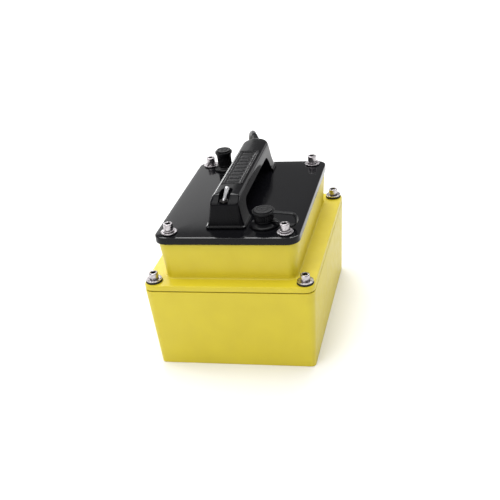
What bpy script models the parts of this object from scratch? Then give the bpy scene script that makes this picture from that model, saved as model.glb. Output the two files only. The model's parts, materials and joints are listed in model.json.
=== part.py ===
"""Portable sealed control box: a tapered tub, a stepped cover, a lid plate that carries a bridge
handle with a toggle switch, two capped round sockets and a coiled lead.

Metres, +Z up. The origin is the middle of the footprint, on the surface that the box stands on.
The front, with the toggle switch, faces -Y. Every object is one separate piece of the assembly.
"""

import math

import bmesh
import bpy
from mathutils import Matrix, Vector

MM = 0.001
GAP = 0.3 * MM  # clearance left between pieces that touch

# ---- enclosure ----
FLANGE_WIDTH = 170 * MM
FLANGE_DEPTH = 221 * MM
FLANGE_RADIUS = 12 * MM
TUB_DRAFT = 5.5 * MM  # how far each side leans in between rim and floor
TUB_FLOOR_RADIUS = 7 * MM
TUB_RIM_Z = 85.2 * MM
WALL = 3.5 * MM
FLANGE_BOTTOM_Z = 86.4 * MM
FLANGE_TOP_Z = 92 * MM
STEP_BASE_WIDTH = 131 * MM  # the raised part of the cover, where it leaves the flange
STEP_BASE_DEPTH = 190 * MM
STEP_TOP_WIDTH = 140 * MM
STEP_TOP_DEPTH = 192 * MM
STEP_TOP_Z = 129.4 * MM
STEP_WALL = 4 * MM
LID_WIDTH = 143.5 * MM
LID_DEPTH = 194.4 * MM
LID_RADIUS = 12 * MM
LID_BOTTOM_Z = 131 * MM
LID_TOP_Z = 139 * MM
LID_CENTRE_Y = -1.5 * MM
GASKET_WIDTH = 2.4 * MM

# ---- fasteners ----
LID_SCREW_X = 57.5 * MM
LID_SCREW_Y = (-87.2 * MM, 84.2 * MM)
FLANGE_SCREW_X = 75.5 * MM
FLANGE_SCREW_Y = (-100.5 * MM, 100.5 * MM)
SCREW_RADIUS = 3 * MM
SCREW_HOLE_RADIUS = 3.4 * MM
HEAD_RADIUS = 4.75 * MM
HEAD_HEIGHT = 6.2 * MM
SOCKET_FLATS = 4.76 * MM  # across the flats of the hexagon socket
WASHER_RADIUS = 8 * MM
CORNERS = {"front_left": (-1, 0), "front_right": (1, 0), "rear_left": (-1, 1), "rear_right": (1, 1)}

# ---- handle ----
HANDLE_X = -2.5 * MM
HANDLE_BASE_Z = LID_TOP_Z + GAP
HANDLE_UNDERSIDE_Z = 156 * MM
WINDOW_FRONT_Y = -50 * MM
WINDOW_REAR_Y = 61 * MM
GRIP_PANEL_SIZE = (21.4 * MM, 89.4 * MM)
GRIP_PANEL_Y = 4 * MM
POCKET_FLOOR_Z = 167 * MM
CHANNEL_WIDTH = 8 * MM
CHANNEL_TOP_Z = 161 * MM
BOLT_Y = (-55 * MM, 68.5 * MM)
BOLT_RADIUS = 2.4 * MM

# ---- toggle switch ----
TROUGH_WIDTH = 10 * MM
TROUGH_FLOOR_Z = 163 * MM
TROUGH_REAR_Y = -51 * MM
TOGGLE = Vector((-3.5 * MM, -70 * MM, 0))
TOGGLE_PIVOT_Z = 165 * MM
BUSHING_TOP_Z = 165.6 * MM
BUSHING_RADIUS = 3.1 * MM
SWITCH_TOP_Z = 159.7 * MM
LEVER_LENGTH = 13.8 * MM
LEVER_LEAN = math.radians(30)  # from upright, at rest, thrown to the rear
LEVER_TURN = math.radians(-33)  # the switch sits turned this much in its hole

# ---- round sockets: measures from the lid's top, then the direction that the strap leaves in ----
SOCKETS = {
    "front": dict(
        at=(34.3 * MM, -70.5 * MM), base=14.3 * MM, barrel=7.2 * MM, thread=8.1 * MM,
        skirt=9.4 * MM, disc=11.2 * MM, skirt_foot=6.3 * MM, disc_foot=13.4 * MM, top=17.2 * MM,
        reach=34 * MM, strap_turn=math.radians(-11),
    ),
    "rear": dict(
        at=(-38.8 * MM, 74 * MM), base=11.6 * MM, barrel=5.9 * MM, thread=6.6 * MM,
        skirt=7.8 * MM, disc=9.4 * MM, skirt_foot=6.3 * MM, disc_foot=18.8 * MM, top=23 * MM,
        reach=19 * MM, strap_turn=math.radians(105),
    ),
}
SOCKET_WALL = 1.2 * MM
STRAP_WIDTH = 5 * MM
STRAP_THICKNESS = 1.4 * MM

# ---- lead ----
LEAD_RADIUS = 3 * MM
EXIT = Vector((-2.5 * MM, 88 * MM, 161 * MM))  # where the lead leaves the handle's rear dome
EXIT_DIRECTION = Vector((-0.36, 0.92, 0.12)).normalized()
BOOT_LENGTH = 24 * MM
COIL_CENTRE = Vector((-40 * MM, 186 * MM, 0))
COIL_MID_RADIUS = 34 * MM
COIL_HALF_WIDTH = 9.2 * MM
COIL_HEIGHT = 18.4 * MM
PLUG_AT = COIL_CENTRE + Vector((-8 * MM, 30 * MM, 27.2 * MM))
PLUG_HEADING = math.radians(-8)
LEAD_ROUTE = (  # route points after the boot, down to the coil
    (-17.3 * MM, 125.6 * MM, 160.8 * MM),
    (-20.8 * MM, 134.4 * MM, 151.4 * MM),
    (-21.6 * MM, 138.6 * MM, 139 * MM),
    (-19.5 * MM, 140.5 * MM, 118 * MM),
    (-11 * MM, 142 * MM, 97 * MM),
    (4 * MM, 144 * MM, 77 * MM),
    (19 * MM, 146 * MM, 58 * MM),
    (26 * MM, 147 * MM, 38 * MM),
    (21 * MM, 147.3 * MM, 20 * MM),
    (7 * MM, 147 * MM, 8 * MM),
    (-8 * MM, 146.4 * MM, 3.6 * MM),
    (-15.5 * MM, 146 * MM, 3.2 * MM),
)
LEAD_STEP = 6.5 * MM

# ---- inside ----
BATTERY_SIZE = (104 * MM, 150 * MM, 48 * MM)
BOARD_SIZE = (88 * MM, 128 * MM, 1.6 * MM)
BOARD_TOP_Z = 108 * MM
STANDOFF_AT = ((-38 * MM, -56 * MM), (38 * MM, -46 * MM), (-38 * MM, 48 * MM), (38 * MM, 56 * MM))

COLOURS = {  # linear colour, roughness, metallic
    "yellow": ((0.66, 0.52, 0.05), 0.45, 0.0),
    "black_gloss": ((0.018, 0.018, 0.02), 0.18, 0.0),
    "black_satin": ((0.022, 0.022, 0.024), 0.35, 0.0),
    "rubber": ((0.015, 0.015, 0.016), 0.7, 0.0),
    "steel": ((0.58, 0.56, 0.56), 0.3, 1.0),
    "chrome": ((0.8, 0.8, 0.8), 0.12, 1.0),
    "board": ((0.02, 0.14, 0.05), 0.5, 0.0),
    "battery": ((0.05, 0.09, 0.2), 0.5, 0.0),
    "bare_sheet": ((0.5, 0.5, 0.52), 0.4, 1.0),
}


# ---------------------------------------------------------------- tools

def clear_scene():
    for obj in list(bpy.data.objects):
        bpy.data.objects.remove(obj, do_unlink=True)


def material(name):
    found = bpy.data.materials.get(name)
    if found:
        return found
    colour, roughness, metallic = COLOURS[name]
    made = bpy.data.materials.new(name)
    made.use_nodes = True
    shader = made.node_tree.nodes["Principled BSDF"]
    shader.inputs["Base Color"].default_value = (*colour, 1)
    shader.inputs["Roughness"].default_value = roughness
    shader.inputs["Metallic"].default_value = metallic
    return made


def add_object(name, bm, colour, at=(0, 0, 0)):
    """Puts a bmesh in the scene as one named object with its own finish."""
    bmesh.ops.recalc_face_normals(bm, faces=bm.faces)
    mesh = bpy.data.meshes.new(name)
    bm.to_mesh(mesh)
    bm.free()
    obj = bpy.data.objects.new(name, mesh)
    obj.location = at
    obj.data.materials.append(material(colour))
    bpy.context.scene.collection.objects.link(obj)
    mesh.shade_smooth()
    mesh.set_sharp_from_angle(angle=math.radians(35))
    return obj


def loft_bmesh(rings, closed=False):
    """Skins rings of equally many points. A closed loft joins the last ring to the first one,
    an open one gets a flat cap at each end. A ring of one point is a pole."""
    bm = bmesh.new()
    rows = [[bm.verts.new(point) for point in ring] for ring in rings]
    pairs = list(zip(rows, rows[1:]))
    if closed:
        pairs.append((rows[-1], rows[0]))
    for low, high in pairs:
        count = max(len(low), len(high))
        for k in range(count):
            following = (k + 1) % count
            if len(low) == 1:
                bm.faces.new((low[0], high[following], high[k]))
            elif len(high) == 1:
                bm.faces.new((low[k], low[following], high[0]))
            else:
                bm.faces.new((low[k], low[following], high[following], high[k]))
    if not closed:
        for row in (rows[0], rows[-1]):
            if len(row) > 2:
                bm.faces.new(row)
    return bm


def rounded_outline(width, depth, radius, z, centre=(0, 0), corner_steps=4):
    """A rectangle with round corners, as points that run anticlockwise seen from above."""
    points = []
    for quarter, (side_x, side_y) in enumerate(((1, -1), (1, 1), (-1, 1), (-1, -1))):
        corner_x = centre[0] + side_x * (width / 2 - radius)
        corner_y = centre[1] + side_y * (depth / 2 - radius)
        for step in range(corner_steps + 1):
            angle = math.radians(-90 + 90 * (quarter + step / corner_steps))
            points.append((corner_x + radius * math.cos(angle), corner_y + radius * math.sin(angle), z))
    return points


def circle(radius, z, sides, hexagon=False):
    """A circle, or with hexagon a six-sided outline of that inner radius, as points at even angles."""
    if radius == 0:
        return [(0, 0, z)]
    points = []
    for k in range(sides):
        angle = math.tau * k / sides
        reach = radius
        if hexagon:
            reach = radius / math.cos((angle + math.pi / 6) % (math.pi / 3) - math.pi / 6)
        points.append((reach * math.cos(angle), reach * math.sin(angle), z))
    return points


def turned_bmesh(profile, sides=24, closed=False):
    """A profile of (radius, height) points, spun about Z."""
    return loft_bmesh([circle(radius, z, sides) for radius, z in profile], closed)


def box_bmesh(low, high):
    bm = bmesh.new()
    middle = (Vector(low) + Vector(high)) / 2
    size = Vector(high) - Vector(low)
    place = Matrix.Translation(middle) @ Matrix.Diagonal((*size, 1))
    bmesh.ops.create_cube(bm, size=1, matrix=place)
    return bm


def helper(name, bm, at=(0, 0, 0)):
    """A hidden shape that a Boolean joins to a piece or cuts out of it."""
    bmesh.ops.recalc_face_normals(bm, faces=bm.faces)
    mesh = bpy.data.meshes.new(name)
    bm.to_mesh(mesh)
    bm.free()
    obj = bpy.data.objects.new(name, mesh)
    obj.location = at
    obj.hide_render = True
    obj.display_type = "WIRE"
    bpy.context.scene.collection.objects.link(obj)
    return obj


def add_boolean(target, tool, operation):
    modifier = target.modifiers.new(tool.name, "BOOLEAN")
    modifier.operation = operation
    modifier.solver = "EXACT"
    modifier.object = tool


def cut(target, name, bm, at=(0, 0, 0)):
    add_boolean(target, helper(name, bm, at), "DIFFERENCE")


def join(target, name, bm, at=(0, 0, 0)):
    add_boolean(target, helper(name, bm, at), "UNION")


def drill(target, name, at, radius, low_z, high_z, sides=20):
    cut(target, name, turned_bmesh([(radius, low_z), (radius, high_z)], sides), at)


def along(direction, at):
    """The placement that turns +Z to a direction and moves the origin to a point."""
    return Matrix.Translation(at) @ Vector((0, 0, 1)).rotation_difference(direction).to_matrix().to_4x4()


def corner_places(x, ys):
    return {corner: (side * x, ys[row], 0) for corner, (side, row) in CORNERS.items()}


# ---------------------------------------------------------------- enclosure

def tub_width_at(z):
    return FLANGE_WIDTH - 2 * TUB_DRAFT * (1 - z / TUB_RIM_Z)


def tub_depth_at(z):
    return FLANGE_DEPTH - 2 * TUB_DRAFT * (1 - z / TUB_RIM_Z)


def tub_ring(z, inset):
    """The tub's outline at a height, moved in by the wall or left at the outer skin."""
    share = z / TUB_RIM_Z
    radius = TUB_FLOOR_RADIUS + (FLANGE_RADIUS - TUB_FLOOR_RADIUS) * share - inset
    return rounded_outline(tub_width_at(z) - 2 * inset, tub_depth_at(z) - 2 * inset, radius, z)


def base_tub():
    edge = 1.2 * MM
    floor = [(x * 0.985, y * 0.989, 0) for x, y, _ in tub_ring(0, 0)]
    floor_top = 4 * MM
    rings = [floor, tub_ring(edge, 0), tub_ring(TUB_RIM_Z, 0), tub_ring(TUB_RIM_Z, WALL)]
    rings.append(tub_ring(floor_top, WALL))
    tub = add_object("base_tub", loft_bmesh(rings), "yellow")
    boss_height = 20 * MM
    boss_radius = 7 * MM
    hole_depth = 16 * MM
    for corner, (x, y, _) in corner_places(FLANGE_SCREW_X, FLANGE_SCREW_Y).items():
        profile = [(boss_radius, TUB_RIM_Z - boss_height), (boss_radius, TUB_RIM_Z)]
        join(tub, "tub_boss_" + corner, turned_bmesh(profile, 20), (x, y, 0))
    for corner, (x, y, _) in corner_places(FLANGE_SCREW_X, FLANGE_SCREW_Y).items():
        drill(tub, "tub_hole_" + corner, (x, y, 0), SCREW_RADIUS + GAP, TUB_RIM_Z - hole_depth, FLANGE_TOP_Z)


def flat_gasket(name, outer, radius, z, thickness, centre_y=0):
    """A flat ring that follows a rounded rectangle, GASKET_WIDTH wide."""
    width, depth = outer
    inner_radius = radius - GASKET_WIDTH
    centre = (0, centre_y)
    rings = [
        rounded_outline(width, depth, radius, z, centre),
        rounded_outline(width, depth, radius, z + thickness, centre),
        rounded_outline(width - 2 * GASKET_WIDTH, depth - 2 * GASKET_WIDTH, inner_radius, z + thickness, centre),
        rounded_outline(width - 2 * GASKET_WIDTH, depth - 2 * GASKET_WIDTH, inner_radius, z, centre),
    ]
    add_object(name, loft_bmesh(rings, closed=True), "rubber")


def step_ring(width, depth, radius, z, inset=0.0):
    """An outline of the cover's raised part, whose middle lies a little behind the flange's."""
    return rounded_outline(width - 2 * inset, depth - 2 * inset, radius - inset, z, (0, 1 * MM))


def cover_housing():
    soft = 1.4 * MM  # rounding along the flange's upper edge
    fillet = 1.5 * MM
    rings = [
        rounded_outline(FLANGE_WIDTH, FLANGE_DEPTH, FLANGE_RADIUS, FLANGE_BOTTOM_Z),
        rounded_outline(FLANGE_WIDTH, FLANGE_DEPTH, FLANGE_RADIUS, FLANGE_TOP_Z - soft),
        rounded_outline(FLANGE_WIDTH - soft, FLANGE_DEPTH - soft, FLANGE_RADIUS - soft / 2, FLANGE_TOP_Z - soft / 3),
        rounded_outline(FLANGE_WIDTH - 2.4 * soft, FLANGE_DEPTH - 2.4 * soft, FLANGE_RADIUS - soft, FLANGE_TOP_Z),
        step_ring(STEP_BASE_WIDTH + 2 * fillet, STEP_BASE_DEPTH + 2 * fillet, 9 * MM + fillet, FLANGE_TOP_Z),
        step_ring(STEP_BASE_WIDTH, STEP_BASE_DEPTH, 9 * MM, FLANGE_TOP_Z + fillet),
        step_ring(STEP_TOP_WIDTH, STEP_TOP_DEPTH, 11 * MM, STEP_TOP_Z),
        step_ring(STEP_TOP_WIDTH, STEP_TOP_DEPTH, 11 * MM, STEP_TOP_Z, STEP_WALL),
        step_ring(STEP_BASE_WIDTH, STEP_BASE_DEPTH, 9 * MM, FLANGE_BOTTOM_Z, STEP_WALL),
    ]
    cover = add_object("cover_housing", loft_bmesh(rings, closed=True), "yellow")
    block_low_z = 109.4 * MM
    for corner, (x, y, _) in corner_places(LID_SCREW_X, LID_SCREW_Y).items():
        centre = (math.copysign(59.5 * MM, x), -86.2 * MM if y < 0 else 88.2 * MM)
        outlines = [rounded_outline(15 * MM, 12 * MM, 5.9 * MM, z, centre) for z in (block_low_z, STEP_TOP_Z)]
        join(cover, "lid_block_" + corner, loft_bmesh(outlines))
    for corner, (x, y, _) in corner_places(LID_SCREW_X, LID_SCREW_Y).items():
        drill(cover, "lid_hole_" + corner, (x, y, 0), SCREW_RADIUS + GAP, block_low_z + 2 * MM, LID_TOP_Z)
    for corner, (x, y, _) in corner_places(FLANGE_SCREW_X, FLANGE_SCREW_Y).items():
        drill(cover, "flange_hole_" + corner, (x, y, 0), SCREW_HOLE_RADIUS, TUB_RIM_Z, FLANGE_TOP_Z + 5 * MM)


def lid_plate():
    soft = 2 * MM
    centre = (0, LID_CENTRE_Y)

    def outline(inset, z):
        return rounded_outline(LID_WIDTH - 2 * inset, LID_DEPTH - 2 * inset, LID_RADIUS - inset, z, centre)

    rings = [
        outline(soft / 2, LID_BOTTOM_Z),
        outline(0, LID_BOTTOM_Z + soft / 2),
        outline(0, LID_TOP_Z - soft),
        outline(soft * 0.3, LID_TOP_Z - soft * 0.3),
        outline(soft, LID_TOP_Z),
    ]
    lid = add_object("lid_plate", loft_bmesh(rings), "black_gloss")
    low_z = LID_BOTTOM_Z - 5 * MM
    high_z = LID_TOP_Z + 5 * MM
    for corner, (x, y, _) in corner_places(LID_SCREW_X, LID_SCREW_Y).items():
        drill(lid, "plate_hole_" + corner, (x, y, 0), SCREW_HOLE_RADIUS, low_z, high_z)
    for side, socket in SOCKETS.items():
        drill(lid, side + "_socket_hole", (*socket["at"], 0), socket["thread"] + 0.4 * MM, low_z, high_z)
    for number, y in enumerate(BOLT_Y):
        drill(lid, f"bolt_hole_{number}", (HANDLE_X, y, 0), BOLT_RADIUS + 0.4 * MM, low_z, high_z, 16)
    drill(lid, "switch_wire_hole", (HANDLE_X, -68 * MM, 0), 4.5 * MM, low_z, high_z)
    drill(lid, "lead_wire_hole", (HANDLE_X, 80 * MM, 0), 4.5 * MM, low_z, high_z)


# ---------------------------------------------------------------- fasteners

def washer(name, at, hole, radius, z, thickness, colour):
    profile = [(hole, z), (radius, z), (radius, z + thickness), (hole, z + thickness)]
    add_object(name, turned_bmesh(profile, 18, closed=True), colour, at)


def cap_screw(name, at, head_z, tip_z):
    """A socket head cap screw: round head with a hexagon socket, plain shank."""
    sides = 18
    edge = 0.6 * MM
    top = head_z + HEAD_HEIGHT
    socket_floor = top - 3 * MM
    rings = [
        circle(SCREW_RADIUS, tip_z, sides),
        circle(SCREW_RADIUS, head_z, sides),
        circle(HEAD_RADIUS, head_z, sides),
        circle(HEAD_RADIUS, top - edge, sides),
        circle(HEAD_RADIUS - edge, top, sides),
        circle(SOCKET_FLATS / 2, top, sides, hexagon=True),
        circle(SOCKET_FLATS / 2, socket_floor, sides, hexagon=True),
    ]
    add_object(name, loft_bmesh(rings), "steel", at)


def lid_fasteners():
    flat = 1.3 * MM
    lock = 1.5 * MM
    for corner, place in corner_places(LID_SCREW_X, LID_SCREW_Y).items():
        z = LID_TOP_Z + GAP
        washer("lid_washer_" + corner, place, SCREW_HOLE_RADIUS, WASHER_RADIUS, z, flat, "steel")
        z += flat + GAP
        washer("lid_lock_washer_" + corner, place, SCREW_HOLE_RADIUS, 5.6 * MM, z, lock, "steel")
        z += lock + GAP
        cap_screw("lid_screw_" + corner, place, z, 114 * MM)


def flange_fasteners():
    seal = 1.5 * MM
    flat = 1.4 * MM
    for corner, place in corner_places(FLANGE_SCREW_X, FLANGE_SCREW_Y).items():
        z = FLANGE_TOP_Z + GAP
        washer("flange_seal_" + corner, place, SCREW_HOLE_RADIUS, 8.4 * MM, z, seal, "rubber")
        z += seal + GAP
        washer("flange_washer_" + corner, place, SCREW_HOLE_RADIUS, WASHER_RADIUS - 0.1 * MM, z, flat, "steel")
        z += flat + GAP
        cap_screw("flange_screw_" + corner, place, z, 72 * MM)


# ---------------------------------------------------------------- handle

def handle_outline(half_width, front_y, rear_y, front_radius, z):
    """A level cut through the handle: small corners in front, a half ellipse behind."""
    front_steps = 2
    rear_steps = 10
    rear_reach = min(half_width * 1.15, 16 * MM)
    points = []
    for k in range(rear_steps + 1):
        angle = math.pi * k / rear_steps
        points.append((half_width * math.cos(angle), rear_y - rear_reach + rear_reach * math.sin(angle), z))
    for k in range(front_steps + 1):
        angle = math.pi + math.pi / 2 * k / front_steps
        x = -half_width + front_radius + front_radius * math.cos(angle)
        points.append((x, front_y + front_radius + front_radius * math.sin(angle), z))
    for k in range(front_steps + 1):
        angle = 1.5 * math.pi + math.pi / 2 * k / front_steps
        x = half_width - front_radius + front_radius * math.cos(angle)
        points.append((x, front_y + front_radius + front_radius * math.sin(angle), z))
    return points


def window_bmesh():
    """The finger opening under the bar, open downwards, with rounded upper corners."""
    radius = 9 * MM
    splay = 3 * MM  # the rear leg gets this much thinner towards its foot
    top = HANDLE_UNDERSIDE_Z
    bottom = LID_TOP_Z - 3 * MM
    outline = [(WINDOW_FRONT_Y, bottom)]
    for k in range(5):
        angle = math.pi - math.pi / 2 * k / 4
        outline.append((WINDOW_FRONT_Y + radius + radius * math.cos(angle), top - radius + radius * math.sin(angle)))
    for k in range(5):
        angle = math.pi / 2 - math.pi / 2 * k / 4
        outline.append((WINDOW_REAR_Y - radius + radius * math.cos(angle), top - radius + radius * math.sin(angle)))
    outline.append((WINDOW_REAR_Y + splay, bottom))
    across = 40 * MM
    return loft_bmesh([[(x, y, z) for y, z in outline] for x in (-across, across)])


def handle_shell():
    """The bridge handle: one moulding, hollow in both legs, with a wiring channel along the bar."""
    levels = (  # half width, front, rear, front corner radius, height
        (20, -81.5, 94.0, 4, 139.3),
        (20, -81.5, 94.0, 4, 140.9),
        (18.8, -80.0, 93.6, 4, 141.8),
        (17.2, -78.6, 93.2, 3.5, 145),
        (15.8, -77.6, 92.8, 3, 151),
        (14.8, -76.8, 92.3, 3, 159),
        (14.4, -76.0, 91.0, 3, 164),
        (14.0, -68.5, 89.6, 3, 166.6),
        (12.4, -66.0, 88.0, 3, 168),
        (9.0, -63.0, 85.5, 3, 169.2),
        (5.0, -60.0, 82.0, 3, 169.7),
    )
    rings = [handle_outline(w * MM, f * MM, r * MM, c * MM, z * MM) for w, f, r, c, z in levels]
    shell = add_object("handle_shell", loft_bmesh(rings), "black_satin", (HANDLE_X, 0, 0))
    cut(shell, "finger_window", window_bmesh(), (HANDLE_X, 0, 0))
    half_width, half_depth = GRIP_PANEL_SIZE[0] / 2 + GAP, GRIP_PANEL_SIZE[1] / 2 + GAP
    low = (-half_width, GRIP_PANEL_Y - half_depth, POCKET_FLOOR_Z)
    high = (half_width, GRIP_PANEL_Y + half_depth, 176 * MM)
    cut(shell, "grip_pocket", box_bmesh(low, high), (HANDLE_X, 0, 0))
    trough = [(TROUGH_WIDTH / 2, -90 * MM), (TROUGH_WIDTH / 2, TROUGH_REAR_Y - TROUGH_WIDTH / 2)]
    for k in range(1, 8):
        angle = math.pi * k / 8
        y = TROUGH_REAR_Y - TROUGH_WIDTH / 2 + TROUGH_WIDTH / 2 * math.sin(angle)
        trough.append((TROUGH_WIDTH / 2 * math.cos(angle), y))
    trough += [(-TROUGH_WIDTH / 2, TROUGH_REAR_Y - TROUGH_WIDTH / 2), (-TROUGH_WIDTH / 2, -90 * MM)]
    levels = (TROUGH_FLOOR_Z, 176 * MM)
    cut(shell, "toggle_trough", loft_bmesh([[(x, y, z) for x, y in trough] for z in levels]), (TOGGLE.x, 0, 0))
    low_z = LID_TOP_Z - 3 * MM
    cut(shell, "switch_room", box_bmesh((-8 * MM, -74 * MM, low_z), (6 * MM, -61 * MM, 160 * MM)), (HANDLE_X, 0, 0))
    cut(shell, "lead_room", box_bmesh((-8 * MM, 74 * MM, low_z), (8 * MM, 87 * MM, 158 * MM)), (HANDLE_X, 0, 0))
    low = (-CHANNEL_WIDTH / 2, -62 * MM, HANDLE_UNDERSIDE_Z - 1 * MM)
    high = (CHANNEL_WIDTH / 2, 75 * MM, CHANNEL_TOP_Z)
    cut(shell, "wire_channel", box_bmesh(low, high), (HANDLE_X, 0, 0))
    drill(shell, "bushing_hole", (TOGGLE.x, TOGGLE.y, 0), BUSHING_RADIUS + GAP, 158 * MM, 165 * MM)
    for number, y in enumerate(BOLT_Y):
        drill(shell, f"bolt_thread_{number}", (HANDLE_X, y, 0), BOLT_RADIUS + GAP, low_z, 152 * MM, 16)
    exit_hole = turned_bmesh([(4.6 * MM, -14 * MM), (4.6 * MM, 12 * MM)], 20)
    bmesh.ops.transform(exit_hole, matrix=along(EXIT_DIRECTION, EXIT), verts=exit_hole.verts)
    cut(shell, "lead_exit_hole", exit_hole)


def grip_panel():
    """The ribbed insert in the top of the bar: a raised border round a ribbed field."""
    width, depth = GRIP_PANEL_SIZE
    foot = POCKET_FLOOR_Z + GAP
    top = 169.8 * MM
    centre = (0, GRIP_PANEL_Y)
    border = 1.4 * MM
    field = top - 0.5 * MM
    rings = [
        rounded_outline(width, depth, 0.6 * MM, foot, centre, 1),
        rounded_outline(width, depth, 0.6 * MM, top - 0.6 * MM, centre, 1),
        rounded_outline(width - border, depth - border, 0.6 * MM, top, centre, 1),
        rounded_outline(width - 2 * border, depth - 2 * border, 0.6 * MM, top, centre, 1),
        rounded_outline(width - 3 * border, depth - 3 * border, 0.6 * MM, field, centre, 1),
    ]
    add_object("grip_panel", loft_bmesh(rings), "black_satin", (HANDLE_X, 0, 0))


def channel_cover():
    half = CHANNEL_WIDTH / 2 - GAP
    low = (-half, WINDOW_FRONT_Y + 10 * MM, HANDLE_UNDERSIDE_Z + 0.1 * MM)
    high = (half, WINDOW_REAR_Y - 10 * MM, HANDLE_UNDERSIDE_Z + 2 * MM)
    add_object("handle_channel_cover", box_bmesh(low, high), "black_satin", (HANDLE_X, 0, 0))


def handle_bolts():
    head = 3.6 * MM
    for name, y in zip(("handle_bolt_front", "handle_bolt_rear"), BOLT_Y):
        head_top = LID_BOTTOM_Z - GAP
        profile = [
            (0, head_top - head), (4 * MM, head_top - head), (4.5 * MM, head_top - head + 0.5 * MM),
            (4.5 * MM, head_top), (BOLT_RADIUS, head_top), (BOLT_RADIUS, 150 * MM), (0, 151 * MM),
        ]
        add_object(name, turned_bmesh(profile, 16), "steel", (HANDLE_X, y, 0))


# ---------------------------------------------------------------- toggle switch

def toggle_switch():
    body = add_object(
        "toggle_body",
        turned_bmesh([(0, 152 * MM), (BUSHING_RADIUS, 152 * MM), (BUSHING_RADIUS, BUSHING_TOP_Z),
                      (2.2 * MM, BUSHING_TOP_Z), (2.2 * MM, TOGGLE_PIVOT_Z - 3 * MM), (0, TOGGLE_PIVOT_Z - 3 * MM)], 20),
        "steel", (TOGGLE.x, TOGGLE.y, 0),
    )
    case = box_bmesh((-4.5 * MM, -3.6 * MM, 149 * MM), (4.5 * MM, 8.4 * MM, SWITCH_TOP_Z))
    join(body, "switch_case", case, (TOGGLE.x, TOGGLE.y, 0))
    nut_foot = TROUGH_FLOOR_Z + GAP
    nut_top = nut_foot + 1.8 * MM
    bore = BUSHING_RADIUS + GAP
    rings = [
        circle(bore, nut_foot, 24), circle(4.1 * MM, nut_foot, 24, hexagon=True),
        circle(4.1 * MM, nut_top, 24, hexagon=True), circle(bore, nut_top, 24),
    ]
    add_object("toggle_nut", loft_bmesh(rings, closed=True), "steel", (TOGGLE.x, TOGGLE.y, 0))
    pivot = (TOGGLE.x, TOGGLE.y, TOGGLE_PIVOT_Z)
    ball = 1.7 * MM
    profile = [(0, -ball), (ball * 0.75, -ball * 0.66), (ball, 0), (0.95 * MM, ball * 0.9)]
    profile += [(1.1 * MM, 4 * MM), (1.9 * MM, 9.5 * MM), (2.1 * MM, LEVER_LENGTH - 1.6 * MM)]
    profile += [(1.5 * MM, LEVER_LENGTH - 0.4 * MM), (0, LEVER_LENGTH)]
    lever = turned_bmesh(profile, 16)
    lean = Matrix.Rotation(LEVER_TURN, 4, "Z") @ Matrix.Rotation(-LEVER_LEAN, 4, "X")
    bmesh.ops.transform(lever, matrix=lean, verts=lever.verts)
    add_object("toggle_lever", lever, "chrome", pivot)


# ---------------------------------------------------------------- sockets and dust caps

def socket_shell(side, socket):
    """The panel socket: flared foot, barrel that the cap goes over, threaded tail under the lid."""
    base, barrel, thread = socket["base"], socket["barrel"], socket["thread"]
    tail = LID_BOTTOM_Z - LID_TOP_Z - 8 * MM
    bore = barrel - SOCKET_WALL
    barrel_top = socket["disc_foot"] - 1.4 * MM
    profile = [
        (thread, tail), (thread, GAP), (base, GAP), (base, 1.6 * MM), (base - 0.8 * MM, 2.4 * MM),
        (base - 3 * MM, 3.3 * MM), (barrel + 1.2 * MM, 4.6 * MM), (barrel, 4.6 * MM), (barrel, barrel_top), (bore, barrel_top),
        (bore, tail),
    ]
    add_object(side + "_socket", turned_bmesh(profile, 28, closed=True), "black_satin", (*socket["at"], LID_TOP_Z))
    insert_foot = -4 * MM
    insert_top = barrel_top - 5.2 * MM
    profile = [(0, insert_foot), (bore - GAP, insert_foot), (bore - GAP, insert_top), (0, insert_top)]
    add_object(side + "_socket_insert", turned_bmesh(profile, 20), "rubber", (*socket["at"], LID_TOP_Z))
    nut_top = LID_BOTTOM_Z - LID_TOP_Z - GAP
    nut_foot = nut_top - 4 * MM
    flats = thread + 3 * MM
    rings = [
        circle(thread + GAP, nut_foot, 24), circle(flats, nut_foot, 24, hexagon=True),
        circle(flats, nut_top, 24, hexagon=True), circle(thread + GAP, nut_top, 24),
    ]
    add_object(side + "_socket_nut", loft_bmesh(rings, closed=True), "steel", (*socket["at"], LID_TOP_Z))


def dust_cap(side, socket):
    """The cap that turns in the strap's collar and covers the barrel; its origin is on the turning axis."""
    skirt, disc, top = socket["skirt"], socket["disc"], socket["top"]
    foot, disc_foot = socket["skirt_foot"], socket["disc_foot"]
    bore = socket["barrel"] + 0.4 * MM
    neck = skirt - 1 * MM
    collar_top = disc_foot + 2.4 * MM
    button = disc - 1.6 * MM
    profile = [
        (bore, foot), (skirt, foot), (skirt, disc_foot - GAP), (neck, disc_foot - GAP), (neck, collar_top + GAP),
        (button, collar_top + GAP), (button, top - 0.5 * MM), (button - 1 * MM, top), (0, top),
    ]
    inner = [(0, disc_foot - 0.9 * MM), (bore, disc_foot - 0.9 * MM)]
    rings = [circle(radius, z, 28) for radius, z in profile]
    rings = [circle(radius, z, 28) for radius, z in inner] + rings
    add_object(side + "_dust_cap", loft_bmesh(rings, closed=False), "rubber", (*socket["at"], LID_TOP_Z))


def strap_path(socket):
    """The strap's middle line, as (distance out, height): out from the cap, round, back to the foot."""
    high = socket["disc_foot"] + 1.2 * MM
    reach = socket["reach"]
    start = socket["disc"] - 0.9 * MM
    low = 2.4 * MM
    foot_height = 5.45 * MM
    foot = socket["base"]
    bend = (high - low) / 2
    path = [(start, high)]
    for k in range(9):
        angle = math.pi / 2 - math.pi * k / 8
        path.append((reach - 0.8 * bend + 0.8 * bend * math.cos(angle), (high + low) / 2 + bend * math.sin(angle)))
    path.append((foot + 2 * MM, low + 1.0 * MM))
    path.append((foot - 1 * MM, foot_height - 0.3 * MM))
    path.append((socket["barrel"] + 1.4 * MM, foot_height))
    return path


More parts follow.
